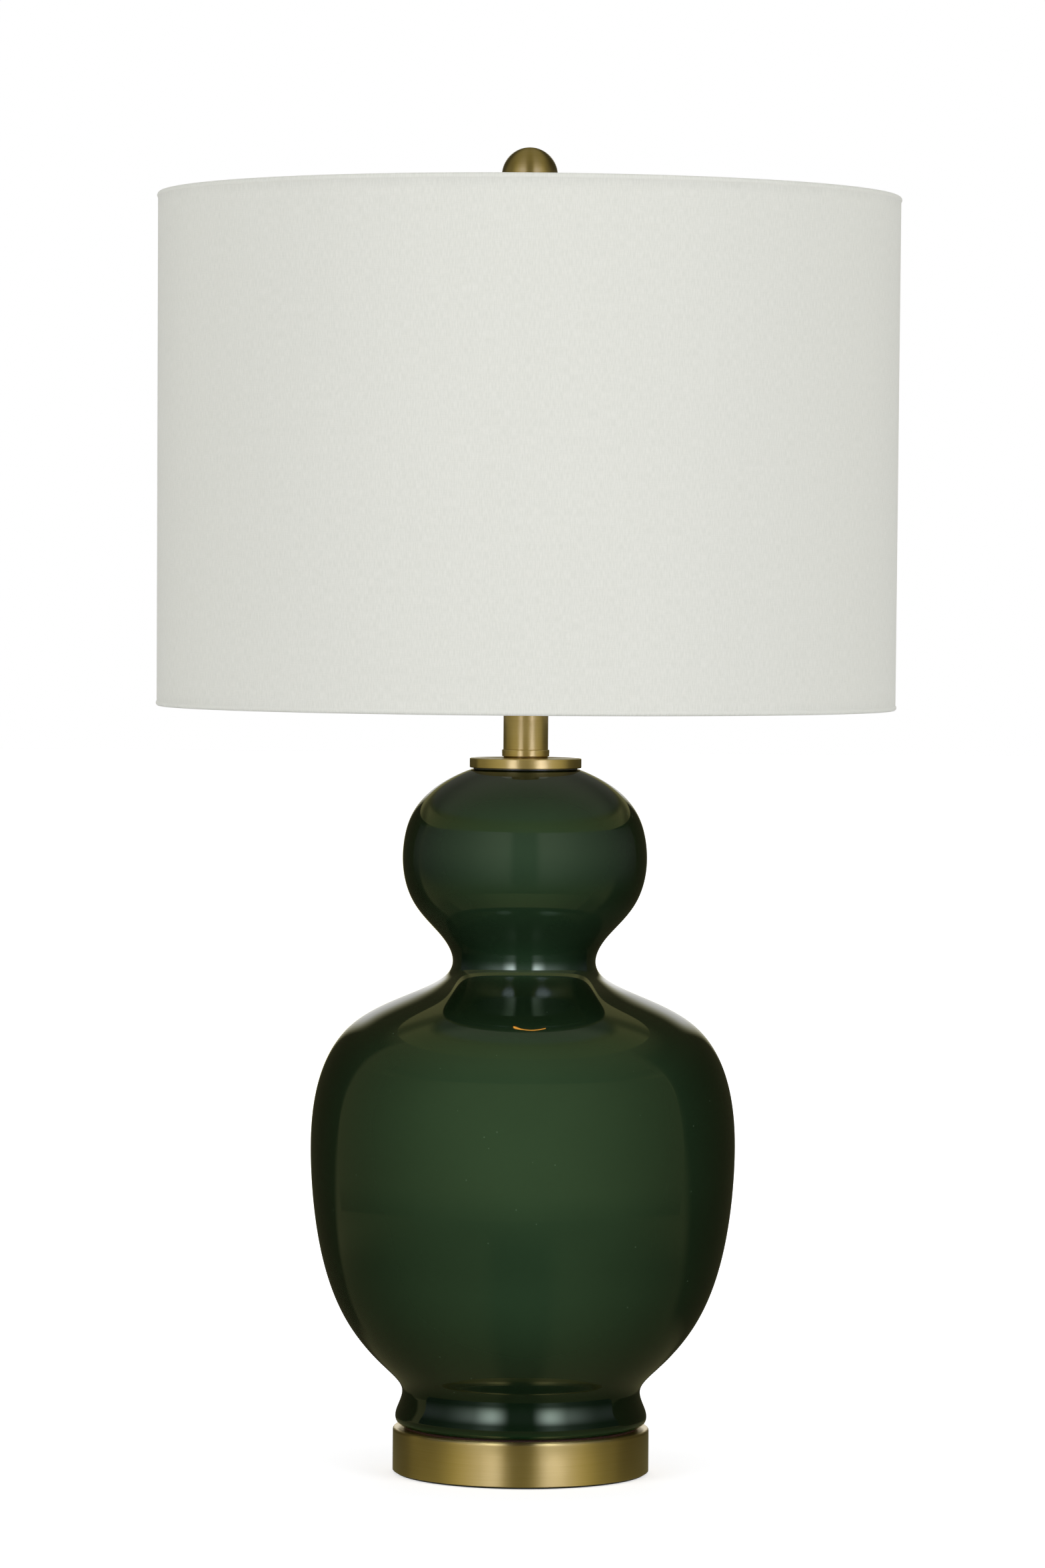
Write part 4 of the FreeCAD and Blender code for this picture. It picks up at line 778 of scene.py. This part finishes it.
# %% Lap
LAP_WIDE, LAP_THICK, LAP_END, LAP_SUNK = 12.0, 0.4, 5.0, 0.1
SIDE_FOLD, END_FOLD = 14, 60
across = np.linspace(-1, 1, 25)
angle = np.pi / 2 + across * LAP_WIDE / 2 / R_LOW
level = np.linspace(0, 1, 60)[:, None]
wall_r = R_LOW - INSET + (R_HIGH - R_LOW) * level + 0 * across
lap_z = SHADE_LOW + LAP_END + (SHADE_HIGH - SHADE_LOW - 2 * LAP_END) * level
rounded = np.sqrt(np.clip(1 - across ** SIDE_FOLD, 0, 1))
rounded = rounded * np.sqrt(np.clip(1 - (2 * level - 1) ** END_FOLD, 0, 1))
outside = around(wall_r + LAP_THICK * rounded, lap_z, angle)
inside = around(wall_r - LAP_SUNK, lap_z, angle)
lap_points = np.concatenate([outside, inside[:, ::-1]], 1)
ends = [0 * row + row.mean(1, keepdims=True) for row in (lap_points[:1], lap_points[-1:])]
lap_points = np.concatenate([ends[0], lap_points, ends[1]])
lap = grid_piece("shade_lap", lap_points, "shade", "shade_cloth")

# %% [markdown]
# ## The spider
#
# The upper ring carries three arms that meet in a flat hub. Each arm leaves the hub level, then
# steps up in an S to reach the ring, so the hub and finial sit below the rim. One arm is drawn,
# and the three are turned round the axis and joined with the ring and the hub.

# %% Spider
STUD_SHOULDER, HUB_GAP, HUB_THICK, HUB_HOLE, HUB_RADIUS = 14.0, 0.2, 1.6, 5.6, 14.0
ARM_START, ARM_LEVEL, ARM_BEND, ARM_WIRE, RING_WIRE = 9.8, 6.0, 3.2, 1.4, 1.1
STEP_INSET = 0.293
HUB_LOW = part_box("harp_stud")[1].z / MM - STUD_SHOULDER + HUB_GAP
RING_R, RING_Z = R_HIGH - ROLL, SHADE_HIGH - ROLL
ARM_Z = HUB_LOW + HUB_THICK / 2
step_up = RING_Z - ARM_Z
step_end = RING_R - ARM_LEVEL - step_up * STEP_INSET
step_start = RING_R - ARM_LEVEL - step_up * (1 - STEP_INSET)
arm_line = bent([(ARM_START, ARM_Z), (step_start, ARM_Z, ARM_BEND),
                 (step_end, RING_Z, ARM_BEND), (RING_R, RING_Z)], 8)
arms = []
for number, spin in enumerate(np.radians((90, 210, 330))):
    outwards = np.array([math.cos(spin), math.sin(spin), 0])
    line = arm_line[:, :1] * outwards + arm_line[:, 1:] * np.array([0, 0, 1])
    arms.append(wire("spider_arm_%d" % number, line, (math.sin(spin), -math.cos(spin), 0),
                     ARM_WIRE, "shade", "white_wire", 16))
a = once_round(16)
ring_section = np.stack([RING_R + RING_WIRE * np.cos(a), RING_Z + RING_WIRE * np.sin(a)], -1)
hoop = turned("shade_spider", ring_section, "shade", "white_wire", 288)
hub_top = HUB_LOW + HUB_THICK
hub = turned("spider_hub", eased([
    (HUB_HOLE, HUB_LOW, 0.3), (HUB_RADIUS, HUB_LOW, 0.5), (HUB_RADIUS, hub_top, 0.5),
    (HUB_HOLE, hub_top, 0.3)]), "shade", "white_wire", 96)
for piece in (hoop, hub, *arms):
    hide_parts("shade_fitter")

# %% [markdown]
# ## The finial
#
# A brass ball stands on a turned foot that screws on the stud. The ball is a circle turned once,
# open at the bottom where the foot's neck goes in.

# %% Finial
BALL, SEAT = 15.3, 5.63
STEM_BORE, FLANGE, STEM = 3.2, 8.0, 5.6
FOOT_LOW, neck_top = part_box("finial_foot")[0].z / MM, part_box("finial_foot")[1].z / MM
flange_top, stem_low, stem_top = FOOT_LOW + 1.1, FOOT_LOW + 2.2, FOOT_LOW + 13.6
centre_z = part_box("finial_ball")[1].z / MM - BALL
start = -math.acos(SEAT / BALL)
a = np.linspace(start, np.pi / 2, 60)
ball_line = np.stack([BALL * np.cos(a), centre_z + BALL * np.sin(a)], -1)
ball_line[-1, 0] = 0
seat = [(0, neck_top), (SEAT, neck_top), (SEAT, centre_z + BALL * math.sin(start) + 0.3)]
ball = turned("finial_globe", np.concatenate([seat, ball_line]), "finial", "satin_brass", 128,
              closed=False, finish_name="shaded_ball_brass")
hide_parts("finial_ball")
foot_line = eased([
    (STEM_BORE, FOOT_LOW), (FLANGE, FOOT_LOW, 0.3), (FLANGE, flange_top, 0.3),
    (STEM, stem_low, 0.6), (STEM, stem_top), (0, stem_top)])
foot_line = np.concatenate([[(0, stem_top - 1.0), (STEM_BORE, stem_top - 1.0)], foot_line])
foot_piece = turned("finial_stem", foot_line, "finial", "satin_brass", 96, closed=False,
                    finish_name="shaded_ball_brass")
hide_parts("finial_foot")

# %% [markdown]
# ## The tent
#
# The lamp was photographed in a white tent: two soft lamps in front of it, left and right, with
# a dark gap between them where the camera stands. Brass and glass show that tent as bright and
# dark stripes, so the world's light is drawn as a function of direction: a dim open front, dark
# sides, a grey roof, a glow round each lamp and the white wall far behind. What the camera sees
# straight is plain white, and dull surfaces get an even light.

# %% World
DARK_SIDE, FRONT, ROOF, TABLE = 0.04, 0.22, 0.36, 0.12
WORLD_GLOW, DULL_LIGHT = 2.0, 0.42
WHITE, BLACK = (1, 1, 1, 1), (0, 0, 0, 1)
WARM, COOL = (1.0, 0.93, 0.48, 1), (0.97, 1.0, 1.40, 1)
DEGREES = 180 / math.pi


def bearing(made, x, y):
    """The angle round the axis in degrees: 0 is the front, and it grows towards the right."""
    return made.math("ARCTAN2", x, 0 - y) * DEGREES


def stripes(made, azimuth):
    """The tent round the horizon: its open front, and the glow beside the gap."""
    turn = made.math("ABSOLUTE", azimuth)
    return made.between(azimuth, -121, -115, 92, 102), made.between(turn, 9, 22, 26, 85)


def rays(made, *kinds):
    """1 for a ray of one of these kinds, such as Camera or Glossy, and 0 for any other."""
    found = 0
    for kind in kinds:
        found = made.math("MAXIMUM", found, made.node("LightPath", output="Is %s Ray" % kind))
    return found


world = bpy.data.worlds.new("tent")
bpy.context.scene.world = world
tent = Finish(world)
dx, dy, dz = tent.place("Generated")
azimuth, up = bearing(tent, dx, dy), tent.math("ARCSINE", dz) * DEGREES
front, skirt = stripes(tent, azimuth)
skirt = skirt * tent.between(up, -2, 8, 20, 32)
roof = tent.ramp(up, 34, 56)
behind = tent.ramp(tent.math("ABSOLUTE", azimuth) + up * 0.7, 168, 177)
behind = behind * tent.ramp(up, 12, 26, 0.9, 0.0)
wall = DARK_SIDE + front * (FRONT - DARK_SIDE) + behind + tent.ramp(up, 12, 36) * 0.03
light = wall * (1 - roof) + roof * ROOF + skirt * WORLD_GLOW
seen, soft = rays(tent, "Camera", "Transmission"), rays(tent, "Diffuse")
level = seen + (1 - seen) * (light * (1 - soft) + soft * DULL_LIGHT)
plain = tent.math("MAXIMUM", tent.math("MAXIMUM", seen, soft), behind)
tint = tent.blend(plain, tent.blend(tent.ramp(light, 0.6, 2.5), WARM, COOL), WHITE)
shown = tent.node("Background", None, {"Color": tint, "Strength": level})
tent.node("OutputWorld", None, {"Surface": shown}, None)
print("tent nodes", len(tent.tree.nodes))

# %% [markdown]
# Three large area lamps, two in front and one behind, give the shade and the glass their plain,
# even light. They don't show in the reflections, because the tent already does.


# %% Area lamps
MIDDLE = Vector((0, 0, 0.36))


def soft_lamp(name, place, size, watts):
    """Square lamp that looks at the middle of the object."""
    data = bpy.data.lights.new(name, "AREA")
    data.shape, data.size, data.energy = "SQUARE", size, watts
    lamp = placed(name, data)
    lamp.location = place
    lamp.rotation_euler = (MIDDLE - Vector(place)).to_track_quat("-Z", "Y").to_euler()
    lamp.visible_camera = lamp.visible_glossy = lamp.visible_transmission = False
    print(name, watts, "W")


soft_lamp("front_left", (-2.2, -2.0, 1.5), 1.6, 31.0)
soft_lamp("front_right", (2.2, -2.0, 1.5), 1.6, 33.0)
soft_lamp("back_top", (0.0, 2.2, 2.4), 1.8, 22.0)

# %% [markdown]
# ## The floor
#
# The floor is white paper that keeps only the lamp's soft shadow. Reflections see it as a dim
# table that fades into the tent's front, its dark sides and the white wall behind. From below it
# is clear, so the lamp can be looked at from underneath.


# %% Floor
def stage_sheet(name, grid, made):
    """Sheet of the stage through two rows of points."""
    columns = grid.shape[1]
    mesh = bpy.data.meshes.new(name)
    faces = [(i, i + 1, i + columns + 1, i + columns) for i in range(columns - 1)]
    mesh.from_pydata(grid.reshape(-1, 3).tolist(), [], faces)
    mesh.materials.append(made.owner)
    sheet = placed(name, mesh)
    print(name, columns - 1, "faces")
    return sheet


FLOOR_HALF, FLOOR_LOW = 14.0, -0.0002
sides = (-FLOOR_HALF, FLOOR_HALF)
paper = finish("paper")
stage_sheet("floor", np.array([[(x, y, FLOOR_LOW) for x in sides] for y in sides]), paper)
x, y, z = paper.place()
azimuth, far = bearing(paper, x, y), paper.length(x, y)
front, skirt = stripes(paper, azimuth)
behind = paper.ramp(azimuth, -176, -168, 1.0, 0.0) + paper.ramp(azimuth, 174, 180)
near_front = paper.ramp(far, 0.33, 0.60, 1.0, 0.0)
near_side = paper.ramp(far, 0.17, 0.25, 1.0, 0.0)
before = FRONT + near_front * (TABLE - FRONT) + skirt * near_front * 0.10
beside = DARK_SIDE + near_side * (TABLE - DARK_SIDE) + behind * (1 - near_side) * 0.95
mirrored = beside + front * (before - beside)
glossy, seen = rays(paper, "Glossy"), rays(paper, "Camera", "Transmission")
lit = paper.node("BsdfDiffuse", None, {"Color": paper.blend(glossy, (0.8, 0.8, 0.8, 1), BLACK)})
strength = seen * paper.ramp(far, 0.10, 0.55, 0.52, 1.0) + glossy * mirrored
glow = paper.glow(paper.blend(glossy, WHITE, WARM), strength)
both = paper.node("AddShader", None, {0: lit, 1: glow})
below = paper.node("NewGeometry", output="Backfacing")
paper.surface(paper.node("MixShader", None, {0: below, 1: both, 2: paper.node("BsdfTransparent")}))

# %% [markdown]
# ## Sheets for the reflections
#
# The two lamps are soft ovals of light on a curved sheet 0.7 m from the lamp's axis, at the
# height of the neck, in the glow that surrounds them. A second sheet, a plain card, stands close
# in front of the belly. It is as bright as the open front of the tent, so it doesn't show
# itself, but it hides the two lamps from the belly and leaves them to the foot, the waist, the
# neck and the finial. Only reflections see these sheets: they block no light and throw no
# shadow.


# %% Lamp sheet and card
def reflected_only(name, grid, made):
    """Sheet of the stage that shows in reflections only."""
    sheet = stage_sheet(name, grid, made)
    sheet.visible_camera = sheet.visible_diffuse = False
    sheet.visible_transmission = sheet.visible_shadow = False


def band(rows, first=-88, last=88):
    """Two arcs, each with its distance and height, round the axis between two azimuths."""
    t = np.radians(np.linspace(first, last, 91))
    return np.array([np.stack([r * np.sin(t), -r * np.cos(t), h + 0 * t], -1) for r, h in rows])


SHEET_AWAY, LAMP_HIGH, LAMP_HALF = 0.70, 0.46, 0.16
SHEET_GLOW, LAMP = 1.1, 5.4
LEFT_OVAL, RIGHT_OVAL = (-24, -17, 11), (30, -13, 21)
lamps = finish("lamp_sheet")
x, y, z = lamps.place()
azimuth = bearing(lamps, x, y)
skirt = lamps.between(lamps.math("ABSOLUTE", azimuth), 9, 22, 36, 100)
skirt = skirt * lamps.ramp(azimuth, 0, 30, 1.0, 1.6) * lamps.between(z, 0.28, 0.42, 0.46, 0.62)
power = FRONT + skirt * SHEET_GLOW
for middle, left, right in (LEFT_OVAL, RIGHT_OVAL):
    across = azimuth - middle
    wide = lamps.math("MAXIMUM", across * (1 / left), across * (1 / right))
    rise = (z - LAMP_HIGH) * (1 / LAMP_HALF)
    power = power + lamps.ramp(lamps.length(wide, rise), 0.25, 1.0, LAMP, 0.0)
lamps.surface(lamps.glow(lamps.blend(lamps.ramp(power, 0.6, 3.0), WARM, COOL), power))
reflected_only("lamp_sheet", band([(SHEET_AWAY, 0.25), (SHEET_AWAY, 0.66)], -90, 90), lamps)

CARD_AWAY, CARD_LOW, CARD_HIGH = 0.15, 0.138, 0.252
card = finish("card")
x, y, z = card.place()
turn = card.math("ABSOLUTE", bearing(card, x, y))
power = card.ramp(turn, 12, 60, 0.40, FRONT) * card.ramp(z, CARD_LOW, 0.162, 0.70, 1.0)
card.surface(card.glow(WARM, power))
reflected_only("card", band([(CARD_AWAY, CARD_LOW), (CARD_AWAY, CARD_HIGH)], -77.1, 61.5), card)

# %% [markdown]
# Blown glass has flatter and steeper places than a smooth curve, and they show the lamps as
# broad soft panels. Three sheets close round the bowl, the waist and the foot give those panels:
# each has a darker gap in the middle, two bright panels beside it and soft edges above and
# below. They shine towards the glass only and are clear from their other side.


# %% Panels
def one_sided(made, glow, share=1.0):
    """Light on the side that faces the lamp, and nothing at all from the other side."""
    clear = made.node("BsdfTransparent")
    share = made.node("NewGeometry", output="Backfacing") * share
    made.surface(made.node("MixShader", None, {0: share, 1: clear, 2: glow}))


def panels(name, tint, arc, gap, inner, near, wide, rise, soft, slant, ends=(-88, 88)):
    """Sheet with two soft panels beside a darker gap. arc is its distance from the axis and its
    two heights, gap the level between the panels and inner the azimuths where they begin. near
    and wide are two layers of light, each a level, the azimuth where it has faded, and what is
    left there. rise is a ramp over the height, soft the width of the lower and upper edge.
    Light that meets the sheet at a slant beyond the given shares passes through."""
    away, low, high = arc
    made = finish(name)
    x, y, z = made.place()
    turn = made.math("ABSOLUTE", bearing(made, x, y))
    inside = made.ramp(turn, *inner)
    power = made.ramp(turn, inner[1], near[1], near[0], near[2])
    power = power + made.ramp(turn, inner[1], wide[1], wide[0], wide[2])
    power = ((1 - inside) * gap + inside * power) * made.ramp(z, *rise)
    edges = made.between(z, low, low + soft[0], high - soft[1], high)
    edges = edges * made.ramp(made.node("LayerWeight", output="Facing"), *slant, 1.0, 0.0)
    one_sided(made, made.glow(tint, power), edges)
    reflected_only(name, band([(away, low), (away, high)], *ends), made)


BOWL_LIGHT, LOW_LIGHT = (1.10, 1.0, 1.05, 1), (0.92, 1.0, 1.15, 1)
panels("bowl_panels", BOWL_LIGHT, arc=(0.09, 0.300, 0.368), gap=0.25, inner=(5, 11),
       near=(0.14, 40, 0.0), wide=(0.40, 86, 0.10), rise=(0.318, 0.350, 0.8, 1.3),
       soft=(0.03, 0.0005), slant=(0.20, 0.30))
panels("waist_panels", LOW_LIGHT, arc=(0.062, 0.258, 0.291), gap=0.12, inner=(7, 13),
       near=(3.0, 26, 0.0), wide=(0.6, 62, 0.04), rise=(0.272, 0.287, 0.15, 1.7),
       soft=(0.001, 0.003), slant=(0.25, 0.45))
panels("foot_panels", LOW_LIGHT, arc=(0.088, 0.030, 0.080), gap=0.10, inner=(6, 18),
       near=(4.0, 30, 0.0), wide=(2.6, 52, 0.40), rise=(0.041, 0.059, 0.08, 1.0),
       soft=(0.001, 0.014), slant=(0.5, 0.7), ends=(-68, 64))

# %% [markdown]
# The shoulder and the top of the bowl look up into the shade. A flat ring in the shade's mouth
# stands for what they see there: the pale inside of the cloth near its edge, brighter in front
# than at the back, and a dark middle round the tube. Under the bowl a short curved strip with
# one thick end, seen from below only, gives the gold streak that shows on the shoulder.

# %% Mouth of the shade and gold strip
MOUTH_OUTER, MOUTH_INNER, MOUTH_HIGH = 0.201, 0.020, 0.413
PALE, GOLDEN = (1.0, 1.0, 0.82, 1), (1.0, 0.93, 0.42, 1)
mouth = finish("shade_mouth")
x, y, z = mouth.place()
rear = mouth.ramp(y, 0.08, 0.12)
away = mouth.length(x, y)
middle = mouth.ramp(y, -0.035, 0.02, 0.40, 0.16)
rim = mouth.ramp(away, 0.112, 0.135, 0.16, 0.44) * mouth.ramp(y, 0.03, 0.07, 1.0, 0.45)
power = mouth.math("MAXIMUM", middle, rim) * (1 - rear) + rear * 0.36
one_sided(mouth, mouth.glow(mouth.blend(mouth.ramp(away, 0.100, 0.125), PALE, GOLDEN), power))
ring = band([(MOUTH_OUTER, MOUTH_HIGH), (MOUTH_INNER, MOUTH_HIGH)], -180, 180)
reflected_only("shade_mouth", ring, mouth)

GOLD, GOLD_LEVEL, STRIP_HIGH = (1.0, 0.38, 0.06, 1), 12.0, 0.2876
STRIP_MIDDLE, STRIP_AWAY, STRIP_HALF, STRIP_BEND = 0.0045, 0.0768, 0.0113, 0.0048
THICK_END, END_LONG = -0.0055, 0.0030
gold = finish("gold_strip")
one_sided(gold, gold.glow(GOLD, GOLD_LEVEL))
x = np.linspace(-0.0070, 0.0155, 24)
y = STRIP_BEND * ((x - STRIP_MIDDLE) / STRIP_HALF) ** 2 - STRIP_AWAY
half = 0.0006 + 0.0012 * np.exp(-((x - THICK_END) / END_LONG) ** 2)
strip = np.stack([np.stack([x, y + side * half, 0 * x + STRIP_HIGH], -1) for side in (-1, 1)])
reflected_only("gold_strip", strip, gold)

# %% Finish
bpy.context.scene.view_settings.view_transform = "Standard"
